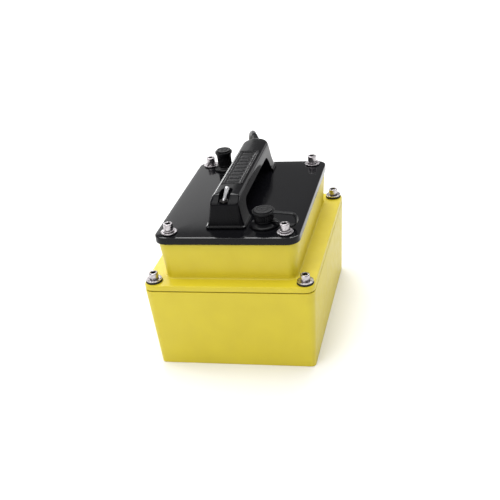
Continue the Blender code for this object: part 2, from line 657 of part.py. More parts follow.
def ribbon_bmesh(path, width, thickness):
    """A flat strip along a path in the XZ plane."""
    rings = []
    for k, (x, z) in enumerate(path):
        before = path[max(k - 1, 0)]
        after = path[min(k + 1, len(path) - 1)]
        run = Vector((after[0] - before[0], after[1] - before[1])).normalized()
        out_x, out_z = -run.y * thickness / 2, run.x * thickness / 2
        rings.append([
            (x + out_x, -width / 2, z + out_z), (x + out_x, width / 2, z + out_z),
            (x - out_x, width / 2, z - out_z), (x - out_x, -width / 2, z - out_z),
        ])
    return loft_bmesh(rings)


def cap_tether(side, socket):
    """One rubber moulding: the collar that the cap turns in, the strap, and the ring at the foot."""
    neck = socket["skirt"] - 1 * MM
    collar_foot = socket["disc_foot"]
    collar = [
        (neck + GAP, collar_foot), (socket["disc"], collar_foot), (socket["disc"], collar_foot + 2.4 * MM),
        (neck + GAP, collar_foot + 2.4 * MM),
    ]
    place = (*socket["at"], LID_TOP_Z)
    tether = add_object(side + "_cap_tether", turned_bmesh(collar, 28, closed=True), "rubber", place)
    strap = ribbon_bmesh(strap_path(socket), STRAP_WIDTH, STRAP_THICKNESS)
    bmesh.ops.rotate(strap, matrix=Matrix.Rotation(socket["strap_turn"], 3, "Z"), verts=strap.verts)
    join(tether, side + "_strap", strap, place)
    ring_foot = 4.9 * MM
    ring_top = 6.0 * MM
    barrel = socket["barrel"]
    ring = [(barrel + GAP, ring_foot), (barrel + 2.4 * MM, ring_foot), (barrel + 2.4 * MM, ring_top), (barrel + GAP, ring_top)]
    join(tether, side + "_strap_ring", turned_bmesh(ring, 28, closed=True), place)


def round_sockets():
    for side, socket in SOCKETS.items():
        socket_shell(side, socket)
        dust_cap(side, socket)
        cap_tether(side, socket)


# ---------------------------------------------------------------- lead

def smooth_points(route, step):
    """Points about a step apart along a Catmull-Rom curve through the route's points."""
    route = [Vector(point) for point in route]
    ends = [2 * route[0] - route[1]] + route + [2 * route[-1] - route[-2]]
    fine = []
    for a, b, c, d in zip(ends, ends[1:], ends[2:], ends[3:]):
        for k in range(20):
            t = k / 20
            fine.append(0.5 * (2 * b + (c - a) * t + (2 * a - 5 * b + 4 * c - d) * t * t + (3 * b - a - 3 * c + d) * t ** 3))
    fine.append(route[-1])
    length = sum((q - p).length for p, q in zip(fine, fine[1:]))
    spacing = length / round(length / step)
    points = [fine[0]]
    travelled = 0.0
    for p, q in zip(fine, fine[1:]):
        travelled += (q - p).length
        if travelled >= spacing * len(points) - 1e-9:
            points.append(q)
    points[-1] = fine[-1]
    return points


def strain_relief():
    """The tapered boot, its neck in the handle's exit hole."""
    neck = 4.3 * MM
    profile = [(0, -8 * MM), (neck, -8 * MM), (neck, 10 * MM), (3.5 * MM, BOOT_LENGTH), (0, BOOT_LENGTH)]
    boot = turned_bmesh(profile, 20)
    bmesh.ops.transform(boot, matrix=Vector((0, 0, 1)).rotation_difference(EXIT_DIRECTION).to_matrix().to_4x4(), verts=boot.verts)
    add_object("strain_relief", boot, "rubber", EXIT)


def cord_lead():
    tip = EXIT + EXIT_DIRECTION * (BOOT_LENGTH + GAP)
    start = EXIT + EXIT_DIRECTION * (BOOT_LENGTH + 6 * MM)
    points = smooth_points([tip, start, *LEAD_ROUTE], LEAD_STEP)
    curve = bpy.data.curves.new("cord_lead", "CURVE")
    curve.dimensions = "3D"
    curve.bevel_depth = LEAD_RADIUS
    curve.bevel_resolution = 2
    curve.use_fill_caps = True
    spline = curve.splines.new("POLY")
    spline.points.add(len(points) - 1)
    for slot, point in zip(spline.points, points):
        slot.co = (*point, 1)
    obj = bpy.data.objects.new("cord_lead", curve)
    curve.materials.append(material("rubber"))
    bpy.context.scene.collection.objects.link(obj)


def cord_coil():
    inner = COIL_MID_RADIUS - COIL_HALF_WIDTH
    outer = COIL_MID_RADIUS + COIL_HALF_WIDTH
    edge = 2 * MM
    foot = 0.1 * MM
    profile = [
        (inner, foot + edge), (inner + edge, foot), (outer - edge, foot), (outer, foot + edge),
        (outer, COIL_HEIGHT - edge), (outer - edge, COIL_HEIGHT), (inner + edge, COIL_HEIGHT), (inner, COIL_HEIGHT - edge),
    ]
    add_object("cord_coil", turned_bmesh(profile, 32, closed=True), "rubber", COIL_CENTRE)


def cord_plug():
    """The round connector on the lead's far end, lying on the coil."""
    profile = [
        (0, 0), (4 * MM, 0), (5 * MM, 8 * MM), (7.2 * MM, 11 * MM), (7.2 * MM, 24 * MM), (8.5 * MM, 25 * MM),
        (8.5 * MM, 36 * MM), (7.6 * MM, 37 * MM), (7.6 * MM, 42 * MM), (6.4 * MM, 42 * MM), (6.4 * MM, 38 * MM), (0, 38 * MM),
    ]
    plug = turned_bmesh(profile, 24)
    lying = Matrix.Rotation(PLUG_HEADING, 4, "Z") @ Matrix.Rotation(math.radians(90), 4, "Y")
    bmesh.ops.transform(plug, matrix=lying, verts=plug.verts)
    add_object("cord_plug", plug, "black_satin", PLUG_AT)


# ---------------------------------------------------------------- inside

def battery():
    width, depth, height = BATTERY_SIZE
    foot = 4 * MM + GAP
    low = (-width / 2, -depth / 2, foot)
    high = (width / 2, depth / 2, foot + height)
    pack = add_object("battery_pack", box_bmesh(low, high), "battery")
    bevel = pack.modifiers.new("soft_edges", "BEVEL")
    bevel.width = 3 * MM
    bevel.segments = 2
    sheet = 1.2 * MM
    half_span = width / 2 + GAP
    half_width = 10 * MM
    tab = 12 * MM
    outline = [
        (-half_span - tab, foot), (-half_span, foot), (-half_span, foot + height + GAP),
        (half_span, foot + height + GAP), (half_span, foot), (half_span + tab, foot), (half_span + tab, foot + sheet),
        (half_span + sheet, foot + sheet), (half_span + sheet, foot + height + GAP + sheet),
        (-half_span - sheet, foot + height + GAP + sheet), (-half_span - sheet, foot + sheet), (-half_span - tab, foot + sheet),
    ]
    rings = [[(x, y, z) for x, z in outline] for y in (-half_width, half_width)]
    add_object("battery_bracket", loft_bmesh(rings), "bare_sheet")


def circuit_board():
    width, depth, thickness = BOARD_SIZE
    low = (-width / 2, -depth / 2, BOARD_TOP_Z - thickness)
    board = add_object("circuit_board", box_bmesh(low, (width / 2, depth / 2, BOARD_TOP_Z)), "board")
    for number, (x, y) in enumerate(STANDOFF_AT):
        drill(board, f"board_hole_{number}", (x, y, 0), 1.6 * MM, BOARD_TOP_Z - 5 * MM, BOARD_TOP_Z + 5 * MM, 12)
    foot = BOARD_TOP_Z + GAP
    top = LID_BOTTOM_Z - GAP
    for number, (x, y) in enumerate(STANDOFF_AT):
        rings = [circle(3 * MM, foot, 12, hexagon=True), circle(3 * MM, top, 12, hexagon=True)]
        add_object(f"board_standoff_{number + 1}", loft_bmesh(rings), "steel", (x, y, 0))
    low = (-30 * MM, -14 * MM, BOARD_TOP_Z + GAP)
    high = (24 * MM, -2 * MM, BOARD_TOP_Z + 11 * MM)
    add_object("terminal_block", box_bmesh(low, high), "black_satin")


def main():
    clear_scene()
    base_tub()
    flat_gasket("flange_gasket", (FLANGE_WIDTH - 2 * MM, FLANGE_DEPTH - 2 * MM), FLANGE_RADIUS - 1 * MM,
                TUB_RIM_Z + GAP, FLANGE_BOTTOM_Z - TUB_RIM_Z - 2 * GAP)
    cover_housing()
    flat_gasket("lid_gasket", (STEP_TOP_WIDTH - 2 * MM, STEP_TOP_DEPTH - 2 * MM), 10 * MM,
                STEP_TOP_Z + GAP, LID_BOTTOM_Z - STEP_TOP_Z - 2 * GAP, 1 * MM)
    lid_plate()
    lid_fasteners()
    flange_fasteners()
    handle_shell()
    grip_panel()
    channel_cover()
    handle_bolts()
    toggle_switch()
    round_sockets()
    strain_relief()
    cord_lead()
    cord_coil()
    cord_plug()
    battery()
    circuit_board()


main()
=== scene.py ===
"""Looks of the sealed control box: moulded enclosure, glossy lid, bridge handle with its toggle
switch, capped round sockets, screws and the coiled lead.

It is laid out as an add-on. Each operator makes one piece, or a group of like pieces, over the
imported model, which stays where it is. Sizes in the functions are millimetres, +Z up, -Y front.
"""

import json
import math

import bpy
import numpy as np
from bpy.props import FloatProperty, FloatVectorProperty, IntProperty, PointerProperty
from mathutils import Matrix, Vector


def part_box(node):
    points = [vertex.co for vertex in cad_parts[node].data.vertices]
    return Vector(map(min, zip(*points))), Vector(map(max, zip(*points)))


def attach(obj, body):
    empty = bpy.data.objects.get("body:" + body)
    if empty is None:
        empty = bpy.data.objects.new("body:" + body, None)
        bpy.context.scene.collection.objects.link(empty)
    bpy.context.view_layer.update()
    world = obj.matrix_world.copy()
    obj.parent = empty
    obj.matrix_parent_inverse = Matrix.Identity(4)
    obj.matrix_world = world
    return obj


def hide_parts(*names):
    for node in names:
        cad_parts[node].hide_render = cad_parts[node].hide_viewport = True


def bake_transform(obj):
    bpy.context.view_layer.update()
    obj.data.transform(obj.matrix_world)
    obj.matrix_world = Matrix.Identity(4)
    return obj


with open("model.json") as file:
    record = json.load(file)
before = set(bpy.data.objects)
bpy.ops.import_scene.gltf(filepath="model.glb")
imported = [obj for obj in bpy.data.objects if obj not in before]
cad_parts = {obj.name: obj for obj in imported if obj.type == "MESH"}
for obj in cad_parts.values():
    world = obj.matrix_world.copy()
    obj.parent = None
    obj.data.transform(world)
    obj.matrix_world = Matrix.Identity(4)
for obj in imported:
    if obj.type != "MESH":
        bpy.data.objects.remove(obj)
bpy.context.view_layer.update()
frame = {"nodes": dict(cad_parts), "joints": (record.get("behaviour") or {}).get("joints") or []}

bl_info = {
    "name": "Sealed control box",
    "version": (1, 0, 0),
    "blender": (4, 5, 0),
    "location": "3D View > Sidebar > Control Box",
    "description": "Builds the finished surfaces of a portable sealed control box",
    "category": "Object",
}

MM = 0.001
CORNERS = ("front_left", "front_right", "rear_left", "rear_right")
SIDES = ("front", "rear")


# ------------------------------------------------------------------ colours and nodes

def linear(colour):
    """Linear red, green and blue of an sRGB colour such as "#D9C437". What is linear already stays."""
    if not isinstance(colour, str):
        return tuple(colour)
    parts = np.array([int(colour[k:k + 2], 16) for k in (1, 3, 5)]) / 255
    curved = ((parts + 0.055) / 1.055) ** 2.4
    return tuple(float(value) for value in np.where(parts <= 0.04045, parts / 12.92, curved))


def mixed(first, second, share):
    return tuple(a + (b - a) * share for a, b in zip(first, second))


def add_node(tree, kind, settings=None, inputs=None):
    """Adds a node, sets its properties, and fills or links its inputs, named or numbered."""
    made = tree.nodes.new(kind)
    for name, value in (settings or {}).items():
        setattr(made, name, value)
    for name, value in (inputs or {}).items():
        if isinstance(value, bpy.types.NodeSocket):
            tree.links.new(value, made.inputs[name])
        else:
            made.inputs[name].default_value = value
    return made


def new_material(name, colour, roughness, metallic=0.0, **shader_values):
    """A material with its Principled shader set, and its tree and shader to add patterns to."""
    made = bpy.data.materials.get(name)
    if made:
        return made, None, None
    made = bpy.data.materials.new(name)
    made.use_nodes = True
    tree = made.node_tree
    shader = tree.nodes["Principled BSDF"]
    shader_values |= {"Base Color": (*linear(colour), 1), "Roughness": roughness, "Metallic": metallic}
    for key, value in shader_values.items():
        shader.inputs[key.replace("_", " ")].default_value = value
    return made, tree, shader


def noise(tree, grain_mm, detail, stretch=(1, 1, 1)):
    """Noise over the object whose features are about grain_mm across, as a 0 to 1 output."""
    place = add_node(tree, "ShaderNodeTexCoord")
    scale = tuple(1 / (grain_mm * MM * part) for part in stretch)
    spread = add_node(tree, "ShaderNodeMapping", None, {"Vector": place.outputs["Object"], "Scale": scale})
    made = add_node(tree, "ShaderNodeTexNoise", None, {
        "Vector": spread.outputs["Vector"], "Scale": 1.0, "Detail": detail,
    })
    return made.outputs["Fac"]


def spread_value(tree, value, low, high):
    """Maps the middle of a noise, 0.3 to 0.7, onto low to high."""
    made = add_node(tree, "ShaderNodeMapRange", None, {
        "Value": value, "From Min": 0.3, "From Max": 0.7, "To Min": low, "To Max": high,
    })
    return made.outputs["Result"]


def add_bump(tree, shader, height, depth_mm):
    bump = add_node(tree, "ShaderNodeBump", None, {"Height": height, "Distance": depth_mm * MM})
    tree.links.new(bump.outputs["Normal"], shader.inputs["Normal"])


def finish(name, colour, roughness, metallic=0.0, shades=None, gloss=None, relief=None, **shader_values):
    """A material with up to three patterns, each given by its noise's (grain in mm, detail, stretch).
    shades (pattern, dark, light, reach) blends two colours by the noise, spread over 0 to reach if that is
    set. gloss (pattern, low, high) varies the roughness, and relief (pattern, depth in mm) is a bump."""
    made, tree, shader = new_material(name, colour, roughness, metallic, **shader_values)
    if tree is None:
        return made
    patterns = {part[0] for part in (shades, gloss, relief) if part}
    noises = {pattern: noise(tree, *pattern) for pattern in sorted(patterns, key=str)}
    if shades:
        pattern, dark, light, reach = shades
        share = spread_value(tree, noises[pattern], 0, reach) if reach else noises[pattern]
        blend = add_node(tree, "ShaderNodeMix", {"data_type": "RGBA"}, {
            0: share, 6: (*linear(dark), 1), 7: (*linear(light), 1),
        })
        tree.links.new(blend.outputs[2], shader.inputs["Base Color"])
    if gloss:
        pattern, low, high = gloss
        tree.links.new(spread_value(tree, noises[pattern], low, high), shader.inputs["Roughness"])
    if relief:
        pattern, depth_mm = relief
        add_bump(tree, shader, noises[pattern], depth_mm)
    return made


# ------------------------------------------------------------------ finishes

def yellow_polyester():
    """Hot-pressed glass polyester: semi-gloss, a faint flow mottle, a shallow ripple in the skin. The real
    ripple is under 0.01 mm deep: it is drawn deeper so that highlights break a little."""
    settings = bpy.context.scene.control_box_enclosure
    colour = tuple(settings.colour)
    return finish(
        "glass polyester, pressed", colour, 0.42, IOR=1.52,
        shades=((26, 4), mixed(colour, linear("#B59A1E"), 0.16), colour, 1),
        gloss=((9, 3), 0.37, 0.47), relief=((settings.ripple, 2), 0.035))


def lid_lacquer():
    """Black lacquered plate: deep gloss under a thin film of dust and wiping marks."""
    colour = tuple(bpy.context.scene.control_box_lid.colour)
    return finish(
        "black lacquered plate", colour, 0.12, IOR=1.27, shades=((0.8, 2), colour, "#141417", 0.6),
        gloss=((22, 4, (1, 2.5, 1)), 0.1, 0.14), relief=((30, 1), 0.02))


def handle_abs():
    """Injection-moulded ABS, black, satin from a spark-eroded mould, a little polished by hands."""
    colour = tuple(bpy.context.scene.control_box_handle.colour)
    return finish(
        "black ABS, moulded", colour, 0.15, IOR=1.2,
        shades=((11, 3), colour, mixed(colour, linear("#141418"), 0.5), 1),
        gloss=((11, 3), 0.1, 0.18), relief=((0.7, 2), 0.004))


def socket_polyamide():
    """Glass-filled polyamide of the sockets: black with a slightly cloudy satin skin."""
    return finish(
        "black polyamide, glass-filled", "#0C0C0E", 0.3, IOR=1.32,
        shades=((3, 4), "#060608", "#0F0F12", 1), relief=((0.4, 2), 0.01))


def cap_rubber():
    """Moulded EPDM of caps and straps: soft black sheen, paler where it has bloomed."""
    return finish(
        "black EPDM, moulded", "#0C0C0E", 0.33, IOR=1.27,
        shades=((4, 4), "#060608", "#101013", 1), gloss=((4, 4), 0.26, 0.4), relief=((0.5, 2), 0.015))


def seal_rubber():
    """Die-cut nitrile of seals and gaskets: matt black with a fine sawn grain."""
    return finish(
        "black nitrile, die-cut", "#0F0F10", 0.75,
        shades=((0.35, 3), "#0B0B0C", "#1A1A1B", None), relief=((0.35, 3), 0.03))


def seam_shade_foam():
    """Closed-cell neoprene strip of the enclosure's seam, with fine cells at its cut edge. Its olive-buff
    colour is painted shade: the soft shadow line along the seam.
    """
    return finish(
        "olive-buff foam, painted seam shade", "#8C7A2E", 0.85,
        shades=((0.5, 2), "#74641F", "#9E8B3C", None), relief=((0.5, 2), 0.08))


def turned_stainless():
    """Machined stainless steel: bright, with fine tool marks across and small stains."""
    marks = (0.35, 2, (6, 6, 1))
    return finish(
        "stainless steel, machined", "#C6C2C4", 0.26, 1.0,
        shades=((2.2, 4), "#A49FA2", "#D4D0D2", 1), gloss=(marks, 0.2, 0.34), relief=(marks, 0.01))


def blackened_steel_and_socket_shade():
    """Black oxide on steel, oiled: near black with a dull metallic glint and browner worn spots. Inside the
    screws' hexagon sockets the same material is painted shade.
    """
    return finish(
        "black oxide steel, also painted socket shade", "#2A292B", 0.45, 0.8,
        shades=((1.2, 3), "#1B1A1C", "#3A3736", 1), gloss=((1.2, 3), 0.38, 0.55))


def lever_chrome():
    """Satin chromium plate on brass: a pale soft shine with slight finger haze."""
    return finish(
        "satin chromium plate", "#E2E2E4", 0.3, 1.0,
        shades=((2.5, 3), "#C8C8CC", "#E8E8EA", 1), gloss=((2.5, 3), 0.26, 0.42))


def cable_pvc():
    """Extruded PVC of the lead's jacket: black, soft gloss, a faint drawing grain."""
    return finish(
        "black PVC, extruded", "#161618", 0.42, IOR=1.53,
        shades=((1.6, 3), "#121214", "#202023", 1), gloss=((1.6, 3), 0.36, 0.5), relief=((1.6, 3), 0.01))


def tie_fabric():
    """Hook-and-loop tape of woven nylon: matt dark grey, rough with loops and threads under 1 mm."""
    return finish(
        "woven nylon tape", "#2B2B2E", 0.85, Sheen_Weight=0.3,
        shades=((0.5, 2), "#1C1C1E", "#3A3A3E", None), relief=((0.5, 2), 0.12))


def gold_contact():
    """Gold flash on brass contact pins: warm and smooth."""
    return finish("gold-flashed brass", "#D8B25A", 0.25, 1.0, shades=((0.6, 2), "#C49A46", "#E4C574", None))


def board_laminate():
    """Glass epoxy board under green solder mask, with the paler lines of its copper tracks."""
    made, tree, shader = new_material("glass epoxy board, masked", "#1E5C33", 0.4)
    if tree:
        place = add_node(tree, "ShaderNodeTexCoord")
        track_pitch = 16 * MM
        bricks = add_node(tree, "ShaderNodeTexBrick", None, {
            "Vector": place.outputs["Object"], "Scale": 1 / track_pitch, "Mortar Size": 0.03,
            "Color1": (*linear("#17512B"), 1), "Color2": (*linear("#1B5930"), 1),
            "Mortar": (*linear("#2F7F49"), 1),
        })
        tree.links.new(bricks.outputs["Color"], shader.inputs["Base Color"])
        add_bump(tree, shader, bricks.outputs["Fac"], 0.05)
    return made


def battery_wrap():
    """Heat-shrunk PVC round the cells: blue, glossy, with small puckers."""
    pucker = (7, 3, (1, 1, 3))
    return finish(
        "blue PVC shrink wrap", "#22447E", 0.32,
        shades=(pucker, "#1C3A6E", "#2A5194", 1), relief=(pucker, 0.3))


def mill_aluminium():
    """Mill-finish aluminium sheet: rolled grain along its length."""
    rolled = (1.2, 3, (12, 1, 1))
    return finish(
        "aluminium, mill finish", "#B9BBBE", 0.38, 1.0,
        shades=(rolled, "#A3A5A8", "#C8CACC", None), relief=(rolled, 0.01))


# ------------------------------------------------------------------ surfaces

def rounded_profile(corners, steps=6):
    """The line through the given corners, whose last number is how far before and after the corner it is cut
    back. Each cut is bridged by the quadratic curve (1-t)^2 a + 2t(1-t) corner + t^2 b."""
    corners = np.array(corners, float)
    points, cuts = corners[:, :-1], corners[:, -1]
    t = np.linspace(0, 1, steps)[:, None]
    line = [points[:1]]
    for before, here, after, cut in zip(points, points[1:], points[2:], cuts[1:]):
        if cut == 0:
            line.append(here[None])
            continue
        back, on = before - here, after - here
        a = here + back * min(cut / np.linalg.norm(back), 0.48)
        b = here + on * min(cut / np.linalg.norm(on), 0.48)
        line.append((1 - t) ** 2 * a + 2 * t * (1 - t) * here + t ** 2 * b)
    line.append(points[-1:])
    return np.concatenate(line)


def rounded_loop(corners, steps=6):
    """rounded_profile for a line that closes on itself: the corners are met in turn, the first one again."""
    corners = [tuple(corner) for corner in corners]
    line = rounded_profile([corners[-1], *corners, corners[0]], steps)
    return line[1:-1]


def rounded_rectangles(width, depth, radius, z, centre=(0, 0), steps=12):
    """One outline for each entry of the arrays: at each corner of the rectangle a quarter circle, its centre
    moved in by the radius, points anticlockwise seen from above."""
    columns = (np.atleast_1d(np.asarray(column, float)) for column in (width, depth, radius, z))
    width, depth, radius, z = (column[:, None, None] for column in np.broadcast_arrays(*columns))
    radius = np.clip(radius, 0.05, np.minimum(width, depth) / 2)
    start = np.radians([-90, 0, 90, 180])[:, None]
    angle = start + np.radians(np.linspace(0, 90, steps))[None, :]
    sign_x = np.array([1, 1, -1, -1])[:, None]
    sign_y = np.array([-1, 1, 1, -1])[:, None]
    x = sign_x * (width / 2 - radius) + radius * np.cos(angle) + centre[0]
    y = sign_y * (depth / 2 - radius) + radius * np.sin(angle) + centre[1]
    return np.stack([x, y, np.broadcast_to(z, x.shape)], axis=-1).reshape(len(z), -1, 3)


def inset_outlines(size, inset, radius, z, centre=(0, 0), steps=12):
    """rounded_rectangles of a size whose sides move in by each entry of inset."""
    return rounded_rectangles(size[0] - 2 * inset, size[1] - 2 * inset, radius, z, centre[:2], steps)


def turned(profile, sides=48, flats=None, ripple=None, centre=(0, 0, 0)):
    """The profile's (radius, height) points spun about Z. Where flats is 1 the radius becomes that of a
    hexagon, r / cos of the angle from the nearest flat's middle. ripple (count, depth, low, high) adds
    depth * cos(count * angle) to the radius between two heights."""
    profile = np.asarray(profile, float)
    angle = np.linspace(0, math.tau, sides, endpoint=False)
    radius = np.repeat(profile[:, :1], sides, axis=1)
    if flats is not None:
        from_flat = (angle + math.pi / 6) % (math.pi / 3) - math.pi / 6
        share = np.asarray(flats, float)[:, None]
        radius = radius * (1 - share + share / np.cos(from_flat)[None, :])
    if ripple is not None:
        count, depth, low, high = ripple
        inside = (profile[:, 1] > low) & (profile[:, 1] < high)
        radius = radius + inside[:, None] * depth * np.cos(count * angle)[None, :]
    height = np.repeat(profile[:, 1:2], sides, axis=1)
    points = np.stack([radius * np.cos(angle), radius * np.sin(angle), height], axis=-1)
    return points + np.asarray(centre, float)


def directions(path):
    """Unit tangents along a path, by central differences."""
    run = np.gradient(path, axis=0)
    return run / np.linalg.norm(run, axis=1, keepdims=True)


def carried(section, path, up):
    """A closed (sideways, upwards) section carried along a path: each point is the path plus its sideways
    part along tangent x up and its upwards part along the vector square to both."""
    tangent = directions(path)
    side = np.cross(tangent, np.broadcast_to(up, path.shape))
    side = side / np.linalg.norm(side, axis=1, keepdims=True)
    lift = np.cross(side, tangent)
    section = np.asarray(section, float)
    return path[:, None] + side[:, None] * section[None, :, :1] + lift[:, None] * section[None, :, 1:]


def rounded_section(width, thickness, radius, steps=4):
    """A rounded rectangle as (sideways, upwards) points for carried()."""
    return rounded_rectangles(width, thickness, radius, 0, steps=steps)[0][:, :2]


def hermite(start, end, start_run, end_run, count):
    """The cubic that leaves start along start_run and reaches end along end_run."""
    t = np.linspace(0, 1, count)[:, None]
    return ((2 * t ** 3 - 3 * t ** 2 + 1) * start + (t ** 3 - 2 * t ** 2 + t) * start_run
            + (3 * t ** 2 - 2 * t ** 3) * end + (t ** 3 - t ** 2) * end_run)


def smooth_route(route, per_span=6):
    """Catmull-Rom curve through the route's points, per_span points to each span."""
    route = np.asarray(route, float)
    ends = np.concatenate([[2 * route[0] - route[1]], route, [2 * route[-1] - route[-2]]])
    a, b, c, d = (ends[k:len(ends) - 3 + k, None] for k in range(4))
    t = np.linspace(0, 1, per_span, endpoint=False)[None, :, None]
    spans = 0.5 * (
        2 * b + (c - a) * t + (2 * a - 5 * b + 4 * c - d) * t ** 2 + (3 * b - a - 3 * c + d) * t ** 3)
    return np.concatenate([spans.reshape(-1, 3), route[-1:]])


def turn_to(direction):
    """The rotation that takes +Z to a direction, as rows for points @ rows."""
    rotation = Vector((0, 0, 1)).rotation_difference(Vector(direction)).to_matrix()
    return np.array(rotation).T


def turn_about_z(angle):
    return np.array(Matrix.Rotation(angle, 3, "Z")).T


def grid_faces(index):
    """The four-cornered faces between neighbours on a grid of vertex numbers."""
    corners = [index[:-1, :-1], index[:-1, 1:], index[1:, 1:], index[1:, :-1]]
    return np.stack(corners, axis=-1).reshape(-1, 4)


def shell(points, ends="caps"):
    """Vertices and faces of a closed surface over a grid of points whose columns close on themselves. ends is
    "caps" for a fan over the first and last row, or "loop" where the last row meets the first. The faces are
    turned round if the enclosed volume, a sum of a . (b x c) / 6, comes out negative."""
    rows, columns = points.shape[:2]
    index = np.arange(rows * columns).reshape(rows, columns)
    if ends == "loop":
        index = np.vstack([index, index[:1]])
    index = np.hstack([index, index[:, :1]])
    quads = grid_faces(index)
    vertices = points.reshape(-1, 3)
    triangles = np.zeros((0, 3), int)
    if ends == "caps":
        first, last = len(vertices), len(vertices) + 1
        vertices = np.vstack([vertices, points[0].mean(axis=0), points[-1].mean(axis=0)])
        low = np.stack([np.full(columns, first), index[0, 1:], index[0, :-1]], axis=-1)
        high = np.stack([np.full(columns, last), index[-1, :-1], index[-1, 1:]], axis=-1)
        triangles = np.vstack([low, high])
    split = np.vstack([quads[:, [0, 1, 2]], quads[:, [0, 2, 3]], triangles])
    a, b, c = (vertices[split[:, k]] for k in range(3))
    if np.einsum("ij,ij->i", a, np.cross(b, c)).sum() < 0:
        quads, triangles = quads[:, ::-1], triangles[:, ::-1]
    return vertices, quads.tolist() + triangles.tolist()


def turned_ring(loop, sides, centre, **turning):
    """A (radius, height) section that meets itself, spun about an upright axis into a closed ring."""
    return shell(turned(loop, sides, centre=centre, **turning), ends="loop")


def ribbed_slab(x, y, bottom, top):
    """A closed slab under the height field top over the grid x by y, with a flat underside at bottom."""
    field_x, field_y = np.meshgrid(x, y)
    upper = np.stack([field_x, field_y, top], axis=-1)
    lower = np.stack([field_x, field_y, np.full_like(field_x, bottom)], axis=-1)
    return shell(np.concatenate([upper, lower[:, ::-1]], axis=1))


def new_object(name, data):
    made = bpy.data.objects.new(name, data)
    bpy.context.scene.collection.objects.link(made)
    return made


def smooth_up_to(mesh, degrees):
    """Shades a mesh smooth, with sharp edges where its faces meet at more than the given angle."""
    mesh.shade_smooth()
    mesh.set_sharp_from_angle(angle=math.radians(degrees))


def add_piece(name, shells, material, body, replaces=(), sharp=38.0):
    """Joins shells, given in millimetres, into one mesh object that rides on a body."""
    vertices, faces, count = [], [], 0
    for points, polygons in shells:
        vertices.append(points)
        faces += [[corner + count for corner in polygon] for polygon in polygons]
        count += len(points)
    mesh = bpy.data.meshes.new(name)
    mesh.from_pydata((np.concatenate(vertices) * MM).tolist(), [], faces)
    mesh.validate()
    smooth_up_to(mesh, sharp)
    mesh.materials.append(material)
    piece = new_object(name, mesh)
    if body:
        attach(piece, body)
    if replaces:
        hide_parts(*replaces)
    return piece


def cutter(name, made):
    """A mesh for a Boolean, in millimetres."""
    points, faces = made
    mesh = bpy.data.meshes.new(name)
    mesh.from_pydata((points * MM).tolist(), [], faces)
    return new_object(name, mesh)


def cut_away(piece, tools):
    """Subtracts the cutters from a piece and keeps the result as its mesh."""
    for tool in tools:
        modifier = piece.modifiers.new(tool.name, "BOOLEAN")
        modifier.operation = "DIFFERENCE"
        modifier.solver = "EXACT"
        modifier.object = tool
    bpy.context.view_layer.update()
    evaluated = piece.evaluated_get(bpy.context.evaluated_depsgraph_get())
    mesh = bpy.data.meshes.new_from_object(evaluated)
    material = piece.data.materials[0]
    piece.modifiers.clear()
    piece.data = mesh
    mesh.materials.clear()
    mesh.materials.append(material)
    for tool in tools:
        bpy.data.objects.remove(tool, do_unlink=True)
    smooth_up_to(mesh, 32)


def enclosed_volume(mesh):
    """The volume a closed mesh holds: the sum over its triangles of a . (b x c) / 6."""
    mesh.calc_loop_triangles()
    corners = np.zeros(len(mesh.loop_triangles) * 3, int)
    mesh.loop_triangles.foreach_get("vertices", corners)
    places = np.zeros(len(mesh.vertices) * 3)
    mesh.vertices.foreach_get("co", places)
    a, b, c = places.reshape(-1, 3)[corners.reshape(-1, 3)].transpose(1, 0, 2)
    return float(np.einsum("ij,ij->i", a, np.cross(b, c)).sum() / 6)


def measures(node):
    """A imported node's lowest corner, highest corner, size and middle, in millimetres."""
    low, high = (np.array(corner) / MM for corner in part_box(node))
    return low, high, high - low, (low + high) / 2


def middle(node):
    return measures(node)[3]


def top_of(node):
    return measures(node)[1][2]


def finish_node(node, material):
    """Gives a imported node, whose shape stays, its finish."""
    mesh = frame["nodes"][node].data
    mesh.materials.clear()
    mesh.materials.append(material)


# ------------------------------------------------------------------ properties

def colour_setting(name, description, hex_text):
    return FloatVectorProperty(
        name=name, description=description, subtype="COLOR", size=3, min=0, max=1, default=linear(hex_text))


class EnclosureSettings(bpy.types.PropertyGroup):
    colour: colour_setting("Moulding colour", "Colour of the tub and the cover", "#DAC828")
    ripple: FloatProperty(
        name="Skin ripple", description="Width of the ripples in the moulded skin, in millimetres",
        default=1.6, min=0.5, max=10,
    )


class LidSettings(bpy.types.PropertyGroup):
    colour: colour_setting("Lid colour", "Colour of the lid plate's lacquer", "#0A0A0D")
    edge_fall: FloatProperty(
        name="Edge fall", description="How far the plate's face falls away at its edge, in millimetres",
        default=0.85, min=0, max=1.5,
    )


class HandleSettings(bpy.types.PropertyGroup):
    colour: colour_setting("Handle colour", "Colour of the handle's moulding", "#060608")
    ribs: IntProperty(
        name="Grip ribs", description="Number of ribs across the grip panel", default=9, min=4, max=20,
    )


class LeadSettings(bpy.types.PropertyGroup):
    diameter: FloatProperty(
        name="Lead diameter", description="Outer diameter of the lead", default=0.006, min=0.003,
        max=0.012, unit="LENGTH",
    )


# ------------------------------------------------------------------ camera and stage

def camera_matrix(place, heading, dip, roll):
    """Where the camera stands, heading right of +Y, dipped below level and rolled, as a matrix whose
    columns are right, up and backwards."""
    forward = Vector((math.sin(heading) * math.cos(dip), math.cos(heading) * math.cos(dip), -math.sin(dip)))
    level = Vector((math.cos(heading), -math.sin(heading), 0))
    above = level.cross(forward)
    right = level * math.cos(roll) + above * math.sin(roll)
    up = above * math.cos(roll) - level * math.sin(roll)
    turn = Matrix((right, up, -forward)).transposed().to_4x4()
    return Matrix.Translation(place) @ turn


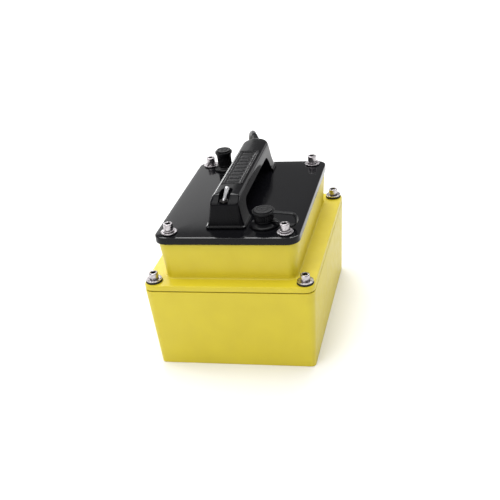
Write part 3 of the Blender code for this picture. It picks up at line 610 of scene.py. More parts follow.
class CONTROLBOX_OT_camera(bpy.types.Operator):
    """Sets up the camera in front of the box, a little to its right and above"""

    bl_idname = "control_box.camera"
    bl_label = "Camera"

    def execute(self, context):
        data = bpy.data.cameras.new("camera")
        data.lens = 69.3
        data.sensor_width = 36
        data.clip_start = 0.05
        camera = new_object("camera", data)
        camera.matrix_world = camera_matrix(
            (0.2342, -0.8890, 0.5322), math.radians(-14.864), math.radians(26.41), math.radians(-6.454))
        context.scene.camera = camera
        return {"FINISHED"}


# Each panel lamp's name, place, the point it faces, width and height in metres, power and colour.
LAMPS = (
    ("back_left_panel", (-1.17, 1.87, 0.76), (0, 0, 0.14), (1.39, 0.82), 3.5, (1, 1, 1)),
    ("rear_strip", (-0.2, 1.5, 1.75), (0, 0, 0.14), (1.8, 0.35), 20, (1, 1, 1)),
    ("low_left_strip", (-1.15, 1.64, 0.4), (0, 0, 0.15), (0.8, 0.35), 6, (1, 1, 1)),
    ("back_right_panel", (0.93, 1.99, 0.75), (0, 0, 0.14), (0.8, 0.8), 3, (1, 1, 1)),
    ("left_panel", (-1.5, 0.5, 1.1), (0, 0, 0.1), (0.8, 1.2), 7, (1, 1, 1)),
    ("key_panel", (-0.7, -1.5, 1.6), (0, 0, 0.08), (1.2, 1.2), 13, (1, 0.99, 0.97)),
)
WORLD_STRENGTH = 0.31  # on the object; the camera itself sees the white at 1
FLOOR_HALF = 6000.0
FLOOR_LINES = 9


def panel_lamp(name, place, target, size, power, colour):
    data = bpy.data.lights.new(name, "AREA")
    data.shape = "RECTANGLE"
    data.size, data.size_y = size
    data.energy = power
    data.color = colour
    lamp = new_object(name, data)
    lamp.location = place
    lamp.rotation_euler = (Vector(target) - Vector(place)).to_track_quat("-Z", "Y").to_euler()


def add_floor():
    """A flat grid just under the object, with a pale finish that is mottled very faintly."""
    steps = np.linspace(-FLOOR_HALF, FLOOR_HALF, FLOOR_LINES)
    x, y = np.meshgrid(steps, steps)
    points = np.stack([x, y, np.full_like(x, -0.05)], axis=-1)
    mesh = bpy.data.meshes.new("floor")
    index = np.arange(x.size).reshape(x.shape)
    mesh.from_pydata((points.reshape(-1, 3) * MM).tolist(), [], grid_faces(index).tolist())
    mesh.materials.append(finish(
        "pale studio floor", "#F4F4F4", 0.9, shades=((300, 2), "#F2F2F2", "#F6F6F6", None)))
    new_object("floor", mesh)


def light_world(scene):
    """A white world, weaker as light than as the background that the camera sees."""
    world = bpy.data.worlds.new("studio")
    world.use_nodes = True
    tree = world.node_tree
    background = tree.nodes["Background"]
    background.inputs["Color"].default_value = (1, 1, 1, 1)
    seen = add_node(tree, "ShaderNodeLightPath").outputs["Is Camera Ray"]
    strength = add_node(tree, "ShaderNodeMapRange", None, {
        "Value": seen, "To Min": WORLD_STRENGTH, "To Max": 1.0,
    })
    tree.links.new(strength.outputs["Result"], background.inputs["Strength"])
    scene.world = world


class CONTROLBOX_OT_stage(bpy.types.Operator):
    """Lays the pale floor and sets the soft studio lights"""

    bl_idname = "control_box.stage"
    bl_label = "Stage"

    def execute(self, context):
        add_floor()
        light_world(context.scene)
        context.scene.view_settings.view_transform = "Standard"
        for lamp in LAMPS:
            panel_lamp(*lamp)
        ceiling = bpy.data.lights.new("ceiling", "SUN")
        ceiling.energy = 2.1
        ceiling.angle = math.radians(60)
        new_object("ceiling", ceiling)
        return {"FINISHED"}


# ------------------------------------------------------------------ the lead

EXIT = np.array((-2.5, 88, 161.0))  # where the lead leaves the handle's rear dome
EXIT_RUN = np.array((-0.36, 0.92, 0.12)) / np.linalg.norm((-0.36, 0.92, 0.12))
BOOT_LENGTH = 24.0
COIL_CENTRE = np.array((-40, 186, 0.0))
COIL_MID_RADIUS = 34.0
TURN_PITCH = 6.1
PLUG_AT = COIL_CENTRE + (-8, 30, 27.2)
PLUG_HEADING = math.radians(-8)
LEAD_ROUTE = (
    (-17.3, 125.6, 160.8),
    (-20.8, 134.4, 151.4),
    (-21.6, 138.6, 139),
    (-19.5, 140.5, 118),
    (-11, 142, 97),
    (4, 144, 77),
    (19, 146, 58),
    (26, 147, 38),
    (21, 147.3, 20),
    (7, 147, 8),
    (-8, 146.4, 3.6),
    (-20, 145.95, 3.2),
)
# Ring, counted outwards from the middle one, and layer of each turn: inwards along the floor, up and
# outwards again, up once more.
TURNS = ((1, 0), (0, 0), (-1, 0), (-1, 1), (0, 1), (1, 1), (1, 2), (0, 2), (0, 2))
LAST_TURN = 115 / 360  # the share of the last turn before the lead leaves for the plug


def on_coil(reach, angle):
    """Points at a reach from the coil's upright axis, as x and y."""
    return COIL_CENTRE[0] + reach * np.cos(angle), COIL_CENTRE[1] + reach * np.sin(angle)


def coil_line(radius):
    """The coil's turns, clockwise from the front. Within a turn the radius and the height are constant, and
    in its last third they glide to the next turn's by t^2 (3 - 2t). A climbing turn swings aside by
    4 sin(pi t), so that it passes round its neighbours."""
    per_turn = 40
    glide_start, glide_share = 0.62, 0.3
    count = len(TURNS) - 2 + LAST_TURN
    travelled = np.linspace(0, count, int(per_turn * count) + 1)
    number = np.minimum(travelled.astype(int), len(TURNS) - 2)
    t = np.clip((travelled - number - glide_start) / glide_share, 0, 1)
    glide = t * t * (3 - 2 * t)
    turns = np.array(TURNS, float)
    here, following = turns[number], turns[number + 1]
    ring, layer = (here + (following - here) * glide[:, None]).T
    climbs = following[:, 1] > here[:, 1]
    swing = climbs * np.sign(here[:, 0]) * 4 * np.sin(np.pi * t)
    reach = COIL_MID_RADIUS + ring * TURN_PITCH + swing
    x, y = on_coil(reach, math.radians(270) - travelled * math.tau)
    return np.stack([x, y, radius + 0.2 + layer * TURN_PITCH], axis=-1)


def lead_line(radius):
    """The lead's whole middle line in millimetres: boot, fall behind the box, coil, and run to the plug."""
    by_boot = [EXIT + EXIT_RUN * (BOOT_LENGTH + further) for further in (-8, 0.3, 6)]
    turns = coil_line(radius)
    fall = smooth_route([*by_boot, *LEAD_ROUTE, turns[0]], 4)
    heading = np.array((math.cos(PLUG_HEADING), math.sin(PLUG_HEADING), 0))
    leave = turns[-1] - turns[-2]
    leave = leave / np.linalg.norm(leave)
    run = hermite(turns[-1], PLUG_AT + heading * 1.5, leave * 30, heading * 30, 16)
    return np.concatenate([fall[:-1], turns, run[1:]])


def strain_boot():
    """Tapered boot: a turned cone whose outer skin is cut by grooves 1.2 wide and 0.35 deep, 2.6 apart."""
    first, pitch, wide, deep = 10.5, 2.6, 1.2, 0.35
    height = np.linspace(-8, BOOT_LENGTH, 97)
    cone = np.interp(height, (-8, 9, BOOT_LENGTH), (4.1, 3.9, 3.45))
    groove = (height > first) & (height < BOOT_LENGTH - 1.5) & ((height - first) % pitch < wide)
    profile = np.stack([cone - deep * groove, height], axis=-1)
    return shell(turned(profile, 40) @ turn_to(EXIT_RUN) + EXIT)


def plug_shells():
    """The round connector, lying along +X from its origin: a sleeve of cable clamp, ribbed body and front,
    and a knurled coupling ring, all turned; then its insert and seven pins."""
    lay = turn_to((1, 0, 0)) @ turn_about_z(PLUG_HEADING)

    def laid(line, sides, ends="caps", **turning):
        return shell(turned(line, sides, **turning) @ lay + PLUG_AT, ends)

    sleeve = rounded_profile([
        (3.2, 0, 0), (4.2, 0, 0.4), (5.2, 8, 1), (7.2, 10.8, 0.8), (7.2, 24.2, 0.4), (6.6, 24.6, 0),
        (6.6, 37.4, 0), (7.6, 37.6, 0.3), (7.6, 42, 0.4), (6.5, 42, 0.2), (6.5, 38.6, 0),
    ])
    ring = rounded_loop([(7.0, 25, 0.2), (8.3, 25, 0.5), (8.3, 36.4, 0.5), (7.0, 36.4, 0.2)])
    insert = rounded_profile([(0.4, 37, 0), (6.3, 37, 0.2), (6.3, 39.2, 0.3), (0.4, 39.2, 0)])
    pin = rounded_profile([(0.2, 38.8, 0), (0.6, 38.8, 0), (0.6, 41.2, 0.3), (0.1, 41.6, 0)])
    spots = [(0, 0)] + [(3.6 * math.cos(a), 3.6 * math.sin(a)) for a in np.arange(6) * math.pi / 3]
    return (
        laid(sleeve, 60, ripple=(20, 0.22, 11.5, 23.5)), laid(ring, 96, "loop", ripple=(32, 0.2, 25.8, 35.6)),
        laid(insert, 40), [laid(pin, 12, centre=(x, y, 0)) for x, y in spots],
    )


def coil_tie():
    """Tape round the bundle of turns: a thin rounded frame in the bundle's cross-section, made 10 mm wide
    along the coil. Its outer face, two edges and inner face are one grid whose rows run across the tape and
    back."""
    angle = np.radians(np.linspace(196, 212, 7))[:, None]
    faces = []
    for width, height, radius, mid_height in ((20.6, 19.2, 3, 9.7), (19.0, 18.2, 2.4, 9.65)):
        line = rounded_section(width, height, radius, 6) + (0, mid_height)
        x, y = on_coil(COIL_MID_RADIUS + line[None, :, 0], angle)
        z = np.maximum(line[None, :, 1], 0.02)
        faces.append(np.stack([x, y, np.broadcast_to(z, x.shape)], axis=-1))
    outer, inner = faces
    return shell(np.concatenate([outer, inner[::-1]]), "loop")


class CONTROLBOX_OT_lead(bpy.types.Operator):
    """Lays the lead from the handle's dome down behind the box into its coil, with boot, plug and tie"""

    bl_idname = "control_box.lead"
    bl_label = "Lead"

    def execute(self, context):
        diameter = context.scene.control_box_lead.diameter
        line = lead_line(diameter / MM / 2) * MM
        curve = bpy.data.curves.new("lead", "CURVE")
        curve.dimensions = "3D"
        curve.bevel_depth = diameter / 2
        curve.bevel_resolution = 4
        curve.use_fill_caps = True
        spline = curve.splines.new("POLY")
        spline.points.add(len(line) - 1)
        spline.points.foreach_set("co", np.hstack([line, np.ones((len(line), 1))]).ravel())
        spline.use_smooth = True
        curve.materials.append(cable_pvc())
        lead = new_object("lead", curve)
        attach(lead, "box")
        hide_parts("cord_lead", "cord_coil")
        boot = add_piece("strain_boot", [strain_boot()], cap_rubber(), "box", ["strain_relief"])
        sleeve, ring, insert, pins = plug_shells()
        plug = add_piece("plug_sleeve", [sleeve], socket_polyamide(), "box", ["cord_plug"])
        coupling = add_piece("plug_coupling_ring", [ring], handle_abs(), "box")
        core = add_piece("plug_insert", [insert], seal_rubber(), "box")
        contacts = add_piece("plug_pins", pins, gold_contact(), "box")
        tie = add_piece("coil_tie", [coil_tie()], tie_fabric(), "box")
        return {"FINISHED"}


# ------------------------------------------------------------------ enclosure

SCREW_HOLE = 3.3


def tub_rows():
    """The tub's wall as rows of (move in from the drafted side, height): out along the floor, up the outside,
    over the rim, down the inside and in along the inner floor. The sides lean in by 5.5 towards the foot."""
    _, high, size, _ = measures("base_tub")
    rim, wall, foot_in = high[2], 3.5, 5.5
    line = rounded_profile([
        (30, 0, 0), (0, 0, 0.5), (0, rim, 0.5), (wall, rim, 0.4), (wall, 4, 3), (30, 4, 0),
    ], 7)
    inset, z = line.T
    less = 2 * foot_in * (1 - z / rim)
    radius = np.maximum(4.5 + 5 * z / rim - inset, 0.6)
    return inset_outlines((size[0] - less, size[1] - less), inset, radius, z)


def post(x, y, radius, top, length):
    """A screw boss that hangs from just under a face: a ring section turned about an upright axis."""
    low, high = top - length, top - 0.1
    loop = rounded_loop([
        (SCREW_HOLE, low, 0.2), (radius, low, 0.4), (radius, high, 0.2), (SCREW_HOLE, high, 0.2),
    ], 3)
    return turned_ring(loop, 32, (x, y, 0))


class CONTROLBOX_OT_tub(bpy.types.Operator):
    """Moulds the tapered lower box with its four screw bosses"""

    bl_idname = "control_box.tub"
    bl_label = "Tub"

    def execute(self, context):
        shells = [shell(tub_rows())]
        for corner in CORNERS:
            x, y, _ = middle("flange_screw_" + corner)
            shells.append(post(x, y, 6.8, top_of("base_tub"), 20))
        add_piece("tub", shells, yellow_polyester(), "box", ["base_tub"])
        return {"FINISHED"}


def cover_rows():
    """The cover's wall as a closed line of (width, depth, corner radius, shift in y, height) outlines: up the
    flange's edge, in over its top, up the flaring step, and down again inside."""
    low, high, size, _ = measures("cover_housing")
    flange_thick = 5.6
    flange = low[2] + flange_thick
    line = rounded_loop([
        (*size[:2], 9.5, 0, low[2], 0.6),
        (*size[:2], 9.5, 0, flange, 2.4),
        (131.5, 190.5, 9.5, 1, flange, 4.2),
        (140, 192, 11, 1, high[2], 0.8),
        (132, 184, 7, 1, high[2], 0.6),
        (123, 182, 5, 1, low[2], 0.8),
    ], 8)
    width, depth, radius, shift, z = line.T
    rows = rounded_rectangles(width, depth, radius, z)
    rows[:, :, 1] += shift[:, None]
    return rows


class CONTROLBOX_OT_cover(bpy.types.Operator):
    """Moulds the upper box with its bolted flange and the blocks for the lid screws"""

    bl_idname = "control_box.cover"
    bl_label = "Cover"

    def execute(self, context):
        shells = [shell(cover_rows(), "loop")]
        for corner in CORNERS:
            x, y, _ = middle("lid_screw_" + corner)
            shells.append(post(x, y - math.copysign(1, y), 5.6, top_of("cover_housing"), 19.5))
        add_piece("cover", shells, yellow_polyester(), "box", ["cover_housing"])
        return {"FINISHED"}


class CONTROLBOX_OT_gaskets(bpy.types.Operator):
    """Lays the seals of both joints, each a soft bead carried round its outline"""

    bl_idname = "control_box.gaskets"
    bl_label = "Gaskets"

    def execute(self, context):
        bead = 2.4
        # painted shade: the flange bead's olive-buff colour stands for the soft shadow line in the seam
        beads = (("flange_gasket", 8.5, seam_shade_foam()), ("lid_gasket", 10, seal_rubber()))
        for node, corner_radius, rubber in beads:
            low, high, size, centre = measures(node)
            inset, z = rounded_loop([
                (0, low[2], 0.25), (0, high[2], 0.25), (bead, high[2], 0.25), (bead, low[2], 0.25),
            ], 4).T
            rows = inset_outlines(size, inset, corner_radius - inset, z, centre)
            add_piece(node + "_bead", [shell(rows, "loop")], rubber, "box", [node])
        return {"FINISHED"}


def lid_rows(fall):
    """The plate as rows of (move in, height): underside, rounded edges, and a face that falls away towards
    its edge by fall * exp(-move in / 7) + 0.25 * exp(-move in / 1.5)."""
    low, high, size, centre = measures("lid_plate")
    inward = 0.7 + 65.3 * np.linspace(0, 1, 64) ** 2.2
    height = high[2] - fall * np.exp(-inward / 7) - 0.25 * np.exp(-inward / 1.5)
    shoulder = height[0] - 0.2
    edge = rounded_profile([
        (30, low[2], 0), (0, low[2], 1.0), (0, shoulder, 0.9), (inward[0], height[0], 0),
    ], 8)
    inset, z = np.concatenate([edge[:-1], np.stack([inward, height], axis=-1)]).T
    return inset_outlines(size, inset, np.maximum(12 - inset, 1.0), z, centre)


class CONTROLBOX_OT_lid(bpy.types.Operator):
    """Makes the glossy lid plate"""

    bl_idname = "control_box.lid"
    bl_label = "Lid plate"

    def execute(self, context):
        fall = context.scene.control_box_lid.edge_fall
        add_piece("lid", [shell(lid_rows(fall))], lid_lacquer(), "box", ["lid_plate"], 50)
        return {"FINISHED"}


# ------------------------------------------------------------------ screws

HEAD_HEIGHT = 6.2
WASHER_HOLE = 3.4


def cap_screw(node):
    """A socket head cap screw in the place of a packed one: turned shank and head, a knurl on the head's
    side, and a hexagon socket whose rows take six flats."""
    low, high, _, (x, y, _) = measures(node)
    top = high[2]
    head = top - HEAD_HEIGHT
    outside = rounded_profile([
        (2.2, low[2], 0), (2.9, low[2] + 0.8, 0.2), (2.9, head, 0), (4.7, head, 0.25), (4.7, top - 0.7, 0.3),
        (4.15, top, 0.35), (2.95, top, 0.2),
    ], 5)
    socket = np.array([(2.5, top - 0.35), (2.38, top - 0.6), (2.38, top - 3), (1.4, top - 3.3)])
    flats = np.concatenate([np.zeros(len(outside)), [1, 1, 1, 0.6]])
    knurl = (24, 0.07, head + 0.6, top - 1.1)
    return shell(turned(np.concatenate([outside, socket]), 72, flats, knurl, (x, y, 0)))


def paint_socket_shade(piece, node):
    """Paints shade into a screw's hexagon socket: its walls and floor, the faces close to the screw's axis
    and a little below its top, get the near-black oxide material as painted shade."""
    axis = middle(node) * (1, 1, 0) + (0, 0, top_of(node))
    mesh = piece.data
    mesh.materials.append(blackened_steel_and_socket_shade())
    centres = np.zeros(len(mesh.polygons) * 3)
    mesh.polygons.foreach_get("center", centres)
    x, y, z = (centres.reshape(-1, 3) / MM - axis).T
    # painted shade: these socket faces are made near black for the shade deep in the recess
    inside = (np.hypot(x, y) < 2.7) & (z < -0.45) & (z > -4)
    mesh.polygons.foreach_set("material_index", inside.astype(np.int32))
    mesh.update()


def washer_ring(node, rim=0.3, bulge=0.0):
    """A washer in the place of a packed one: a rounded ring section turned once round, its side bulged."""
    low, high, size, (x, y, z) = measures(node)
    radius = size[0] / 2 - bulge
    loop = rounded_loop([
        (WASHER_HOLE, low[2], 0.15), (radius, low[2], rim), (radius + bulge, z, 0.4 if bulge else 0),
        (radius, high[2], rim), (WASHER_HOLE, high[2], 0.15),
    ], 4)
    return turned_ring(loop, 48, (x, y, 0))


def split_washer(node, start):
    """A spring lock washer: a square section carried round a screw line that rises by 0.35 in one turn and
    stops 0.2 radians short of a full one."""
    low, _, size, (x, y, _) = measures(node)
    lead, half_gap = 0.35, 0.1
    outer, thick = size[0] / 2, size[2] - lead
    angle = np.linspace(start + half_gap, start + math.tau - half_gap, 60)
    mid = (outer + SCREW_HOLE) / 2
    rise = low[2] + thick / 2 + lead * (angle - start) / math.tau
    path = np.stack([x + mid * np.cos(angle), y + mid * np.sin(angle), rise], axis=-1)
    return shell(carried(rounded_section(outer - SCREW_HOLE, thick, 0.2, 3), path, (0, 0, 1)))


def add_steel(node, made):
    """A stainless piece in the place of a packed one."""
    return add_piece(node + "_steel", [made], turned_stainless(), "box", [node])


class CONTROLBOX_OT_lid_screws(bpy.types.Operator):
    """Sets the four lid screws with their lock washers and flat washers"""

    bl_idname = "control_box.lid_screws"
    bl_label = "Lid screws"

    def execute(self, context):
        for number, corner in enumerate(CORNERS):
            screw, lock, flat = (f"lid_{name}_{corner}" for name in ("screw", "lock_washer", "washer"))
            paint_socket_shade(add_steel(screw, cap_screw(screw)), screw)
            add_steel(lock, split_washer(lock, 0.9 + 1.7 * number))
            add_steel(flat, washer_ring(flat))
        return {"FINISHED"}


class CONTROLBOX_OT_flange_screws(bpy.types.Operator):
    """Sets the four flange screws, each with a washer on a rubber seal"""

    bl_idname = "control_box.flange_screws"
    bl_label = "Flange screws"

    def execute(self, context):
        for corner in CORNERS:
            screw, flat, seal = (f"flange_{name}_{corner}" for name in ("screw", "washer", "seal"))
            paint_socket_shade(add_steel(screw, cap_screw(screw)), screw)
            add_steel(flat, washer_ring(flat))
            add_piece(seal + "_ring", [washer_ring(seal, 0.4, 0.25)], seal_rubber(), "box", [seal])
        return {"FINISHED"}


# ------------------------------------------------------------------ handle

def handle_rows(lines):
    """Level cuts through the handle for rows of (half width, front, rear, front corner radius, height): a
    half ellipse round the rear, straight sides, and two quarter circles in front."""
    half, front, rear, corner, z = (column[:, None] for column in np.asarray(lines, float).T)
    reach = np.minimum(half * 1.15, 16)
    arc = np.linspace(0, math.pi, 41)[None, :]
    quarter = np.linspace(0, math.pi / 2, 8)[None, :]
    side = np.linspace(0, 1, 26)[None, 1:-1]
    rear_x, rear_y = half * np.cos(arc), rear - reach + reach * np.sin(arc)
    left_x = -half + corner * (1 - np.cos(quarter))
    left_y = front + corner * (1 - np.sin(quarter))
    side_y = (rear - reach) + side * (front + corner - rear + reach)
    side_x = np.broadcast_to(half, side_y.shape)
    x = np.concatenate([rear_x, -side_x, left_x, -left_x[:, ::-1], side_x], axis=1)
    y = np.concatenate([rear_y, side_y, left_y, left_y[:, ::-1], side_y[:, ::-1]], axis=1)
    return np.stack([x + middle("handle_shell")[0], y, np.broadcast_to(z, x.shape)], axis=-1)


def handle_outside():
    """The handle before its openings are cut: a foot lip, legs that flare towards it, and a bar whose top
    rolls over at its sides, its chamfered front and its round rear dome."""
    foot = measures("handle_shell")[0][2]
    lines = rounded_profile([
        (20, -81.5, 94, 4, foot, 0),
        (20, -81.5, 94, 4, foot + 2.0, 0.7),
        (18.3, -79.6, 93.5, 3.8, foot + 2.5, 1.4),
        (16.4, -78.2, 93, 3.4, 149, 5),
        (15.0, -77.0, 92.4, 3, 158, 4),
        (14.4, -76.2, 91, 2.8, 164.2, 1.9),
        (13.9, -68.5, 89.6, 2.8, 167.2, 2.2),
        (12.2, -66.0, 88, 2.4, 168.8, 1.8),
        (8.0, -62.0, 84.5, 2, 169.5, 2.5),
        (3.0, -56.0, 79, 1.5, 169.7, 0),
    ], 9)
    return shell(handle_rows(lines))


def finger_window():
    """The opening under the bar: a line up the front post, under the bar and down the rear leg with round
    corners, drawn across the handle. Towards both sides it opens by 2.4 (1 - sqrt(1 - s^2)) / 0.72, which
    rounds the edges off and is 2.4 where s reaches 0.96, its largest value."""
    floor, ceiling = 130, 156
    line = rounded_profile([(-50, floor, 0), (-50, ceiling, 9), (61, ceiling, 9), (64, floor, 0)], 16)
    run = directions(line)
    outward = np.stack([-run[:, 1], run[:, 0]], axis=-1)
    across = np.concatenate([np.linspace(-30, -16, 3)[:-1], -16 + 4.2 * np.linspace(0, 1, 10) ** 1.5, [0]])
    across = np.concatenate([across, -across[-2::-1]])
    s = np.clip((np.abs(across) - 11.8) / 3.4, 0, 0.96)
    opens = 2.4 * (1 - np.sqrt(1 - s * s)) / 0.72
    grid = line[None] + opens[:, None, None] * outward[None]
    x = np.broadcast_to(across[:, None] + middle("handle_shell")[0], grid.shape[:2])
    return shell(np.stack([x, grid[:, :, 0], grid[:, :, 1]], axis=-1))


ABOVE_HANDLE = 180  # where cutters that open upwards end


def grip_pocket():
    """The recess for the grip panel: a rounded rectangle pushed down into the bar, 0.3 clear all round."""
    low, _, size, centre = measures("grip_panel")
    width, depth = size[:2] + 0.6
    return shell(rounded_rectangles(width, depth, 0.9, np.array([low[2] - 0.3, ABOVE_HANDLE]), centre[:2], 5))


def toggle_trough():
    """The open-ended channel that guards the lever: straight sides, a round rear end, and walls that lean out
    towards the top."""
    front, rear = -95, -56
    z = np.array([163.0, 163.2, 165, 168, ABOVE_HANDLE])
    half = np.array([4.5, 5.0, 5.1, 5.6, 8.2])[:, None]
    arc = np.linspace(0, math.pi, 25)[None, :]
    x = np.concatenate([half * np.cos(arc), -half, half], axis=1) + middle("toggle_nut")[0]
    y = np.concatenate([rear + half * np.sin(arc), np.full((len(z), 2), front)], axis=1)
    return shell(np.stack([x, y, np.broadcast_to(z[:, None], x.shape)], axis=-1))


class CONTROLBOX_OT_handle(bpy.types.Operator):
    """Moulds the bridge handle and cuts its finger opening, grip recess and switch trough"""

    bl_idname = "control_box.handle"
    bl_label = "Handle"

    def execute(self, context):
        handle = add_piece("handle", [handle_outside()], handle_abs(), "box", ["handle_shell"])
        tools = [
            cutter("window_cut", finger_window()),
            cutter("pocket_cut", grip_pocket()),
            cutter("trough_cut", toggle_trough()),
        ]
        before = enclosed_volume(handle.data)
        cut_away(handle, tools)
        if not 0.3 < enclosed_volume(handle.data) / before < 0.8:
            raise RuntimeError("the handle's openings weren't cut")
        finish_node("handle_channel_cover", handle_abs())
        finish_node("handle_bolt_front", turned_stainless())
        finish_node("handle_bolt_rear", turned_stainless())
        return {"FINISHED"}


def panel_frame():
    """The grip panel's border: two raised lips, one inside the other, round a sunk field."""
    low, high, size, centre = measures("grip_panel")
    top = high[2]
    inset, z = rounded_profile([
        (4, low[2], 0), (0, low[2], 0.2), (0, top - 0.35, 0.25), (0.3, top, 0.25), (1.0, top, 0.25),
        (1.3, top - 0.55, 0.2), (1.9, top - 0.55, 0.2), (2.2, top - 0.1, 0.2), (2.9, top - 0.1, 0.25),
        (3.3, top - 0.8, 0.2), (6, top - 0.8, 0),
    ], 5).T
    return shell(inset_outlines(size, inset, np.maximum(2.0 - inset, 0.5), z, centre, 8))


def panel_ribs(count):
    """Bars across the field. Each is a stadium: the distance d of a point from the bar's middle line, which
    stops short of the field's sides, gives the height 0.85 * (1 - (d / half width)^4)^0.6, or 0 outside."""
    low, high, size, centre = measures("grip_panel")
    half_x, half_y = size[:2] / 2 - 4.0
    x, y = np.linspace(-half_x, half_x, 61), np.linspace(-half_y, half_y, 32 * count + 1)
    pitch = 2 * half_y / count
    half_width = 0.33 * pitch
    off_y = (y + half_y) % pitch - pitch / 2
    off_x = np.maximum(np.abs(x) - (half_x - half_width - 0.4), 0)
    distance = np.hypot(off_x[None, :], off_y[:, None]) / half_width
    rise = 0.85 * np.clip(1 - distance ** 4, 0, 1) ** 0.6
    return ribbed_slab(x + centre[0], y + centre[1], low[2] + 0.5, high[2] - 0.95 + rise)


class CONTROLBOX_OT_grip_panel(bpy.types.Operator):
    """Sets the ribbed grip panel in the top of the bar"""

    bl_idname = "control_box.grip_panel"
    bl_label = "Grip panel"

    def execute(self, context):
        shells = [panel_frame(), panel_ribs(context.scene.control_box_handle.ribs)]
        add_piece("grip_inlay", shells, handle_abs(), "box", ["grip_panel"])
        return {"FINISHED"}


# ------------------------------------------------------------------ toggle switch

def toggle_lever():
    """The bat-shaped lever: a ball in the bushing, a neck, and a stem that swells to a rounded end, turned
    about its own axis and then leant over."""
    line = rounded_profile([
        (0.1, -1.7, 0), (1.5, -1.5, 0.8), (1.7, 0, 0.6), (1.5, 1.8, 0.6), (1.6, 5, 1.5), (1.95, 9, 2),
        (2.05, 12.4, 1), (1.4, 13.7, 0.8), (0.1, 13.8, 0),
    ], 7)
    lean, turn = math.radians(30), math.radians(33)
    stem = (math.sin(lean) * math.sin(turn), math.sin(lean) * math.cos(turn), math.cos(lean))
    joint = next(joint for joint in frame["joints"] if joint["name"] == "toggle_throw")
    return shell(turned(line, 40) @ turn_to(stem) + np.array(joint["pos_m"]) / MM)


def hex_nut(node, bore, chamfer=0.5):
    """A hexagon nut in the place of a packed one. Its rows go round the hexagon, but at both faces they are
    drawn in to a circle, which makes the chamfer."""
    low, high, size, (x, y, _) = measures(node)
    flat = size[0] / 2
    loop = np.array([
        (bore, low[2]), (flat * 0.99, low[2]), (flat, low[2] + chamfer), (flat, high[2] - chamfer),
        (flat * 0.99, high[2]), (bore, high[2]),
    ])
    return turned_ring(loop, 72, (x, y, 0), flats=[0, 0, 1, 1, 0, 0])


def bushing():
    """The threaded bushing: a turned sleeve with a sawtooth thread and a bore that opens round the lever."""
    x, y, _ = middle("toggle_nut")
    top = top_of("toggle_body")
    height = np.linspace(top - 10, top - 0.3, 61)
    pitch = 0.8
    thread = 2.95 + 0.13 * np.abs((height / pitch) % 1 - 0.5) * 2
    outside = np.stack([thread, height], axis=-1)
    mouth = np.array([(2.8, top), (2.45, top), (2.1, top - 0.7), (2.1, top - 3.4), (0.4, top - 3.4)])
    return shell(turned(np.concatenate([outside, mouth]), 40, centre=(x, y, 0)))


class CONTROLBOX_OT_toggle(bpy.types.Operator):
    """Makes the toggle switch: lever, nut and threaded bushing over its case"""

    bl_idname = "control_box.toggle"
    bl_label = "Toggle switch"

    def execute(self, context):
        low, _, size, centre = measures("toggle_body")
        case_top = low[2] + 10.6
        case = rounded_rectangles(size[0], size[1], 0.8, np.array([low[2], case_top]), centre[:2], 4)
        nut = hex_nut("toggle_nut", SCREW_HOLE, 0.35)
        add_piece("toggle_bat", [toggle_lever()], lever_chrome(), "toggle_lever", ["toggle_lever"], 60)
        add_piece("toggle_hex_nut", [nut], blackened_steel_and_socket_shade(), "box", ["toggle_nut"], 25)
        add_piece("toggle_bushing", [bushing()], blackened_steel_and_socket_shade(), "box", ["toggle_body"])
        add_piece("toggle_case", [shell(case)], socket_polyamide(), "box")
        return {"FINISHED"}


# ------------------------------------------------------------------ sockets and caps

BARREL = {"front": 7.2, "rear": 5.9}
COLLAR = {"front": 11.2, "rear": 9.4}
STRAP_REACH = {"front": 34, "rear": 19}
STRAP_TURN = {"front": math.radians(-11), "rear": math.radians(105)}
FLARE = {"front": 0.8, "rear": 3.6}  # how far below its collar a cap's skirt starts to flare
FOOT_RING = (4.9, 6.0)  # the heights between which a strap's ring clasps the socket's foot


def socket_sizes(side):
    """A socket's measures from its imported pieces, heights from the lid's top."""
    floor = top_of("lid_plate")
    low, high, size, centre = measures(side + "_socket")
    cap_low, cap_high, cap_size, _ = measures(side + "_dust_cap")
    return {
        "centre": np.array((*centre[:2], floor)),
        "base": size[0] / 2,
        "tail": low[2] - floor,
        "top": high[2] - floor,
        "skirt": cap_size[0] / 2,
        "skirt_foot": cap_low[2] - floor,
        "cap_top": cap_high[2] - floor,
        "collar_foot": high[2] - floor + 1.4,
    }


def socket_body(side):
    """The panel socket: a flared foot with a rolled edge, then the smooth barrel, turned as one closed ring
    section down through the lid."""
    sizes = socket_sizes(side)
    base, barrel, top, tail = sizes["base"], BARREL[side], sizes["top"], sizes["tail"]
    thread, bore = barrel + 0.7, barrel - 1.2
    line = rounded_loop([
        (thread, tail, 0.3), (thread, 0.3, 0), (base, 0.3, 0.3), (base, 1.7, 0.5), (base - 0.8, 2.5, 0.5),
        (base - 3, 3.4, 1.2), (barrel + 1.3, 4.5, 0.5), (barrel, 4.6, 0.3), (barrel, top, 0.4),
        (bore, top, 0.3), (bore, tail, 0.2),
    ], 6)
    return turned_ring(line, 72, sizes["centre"])


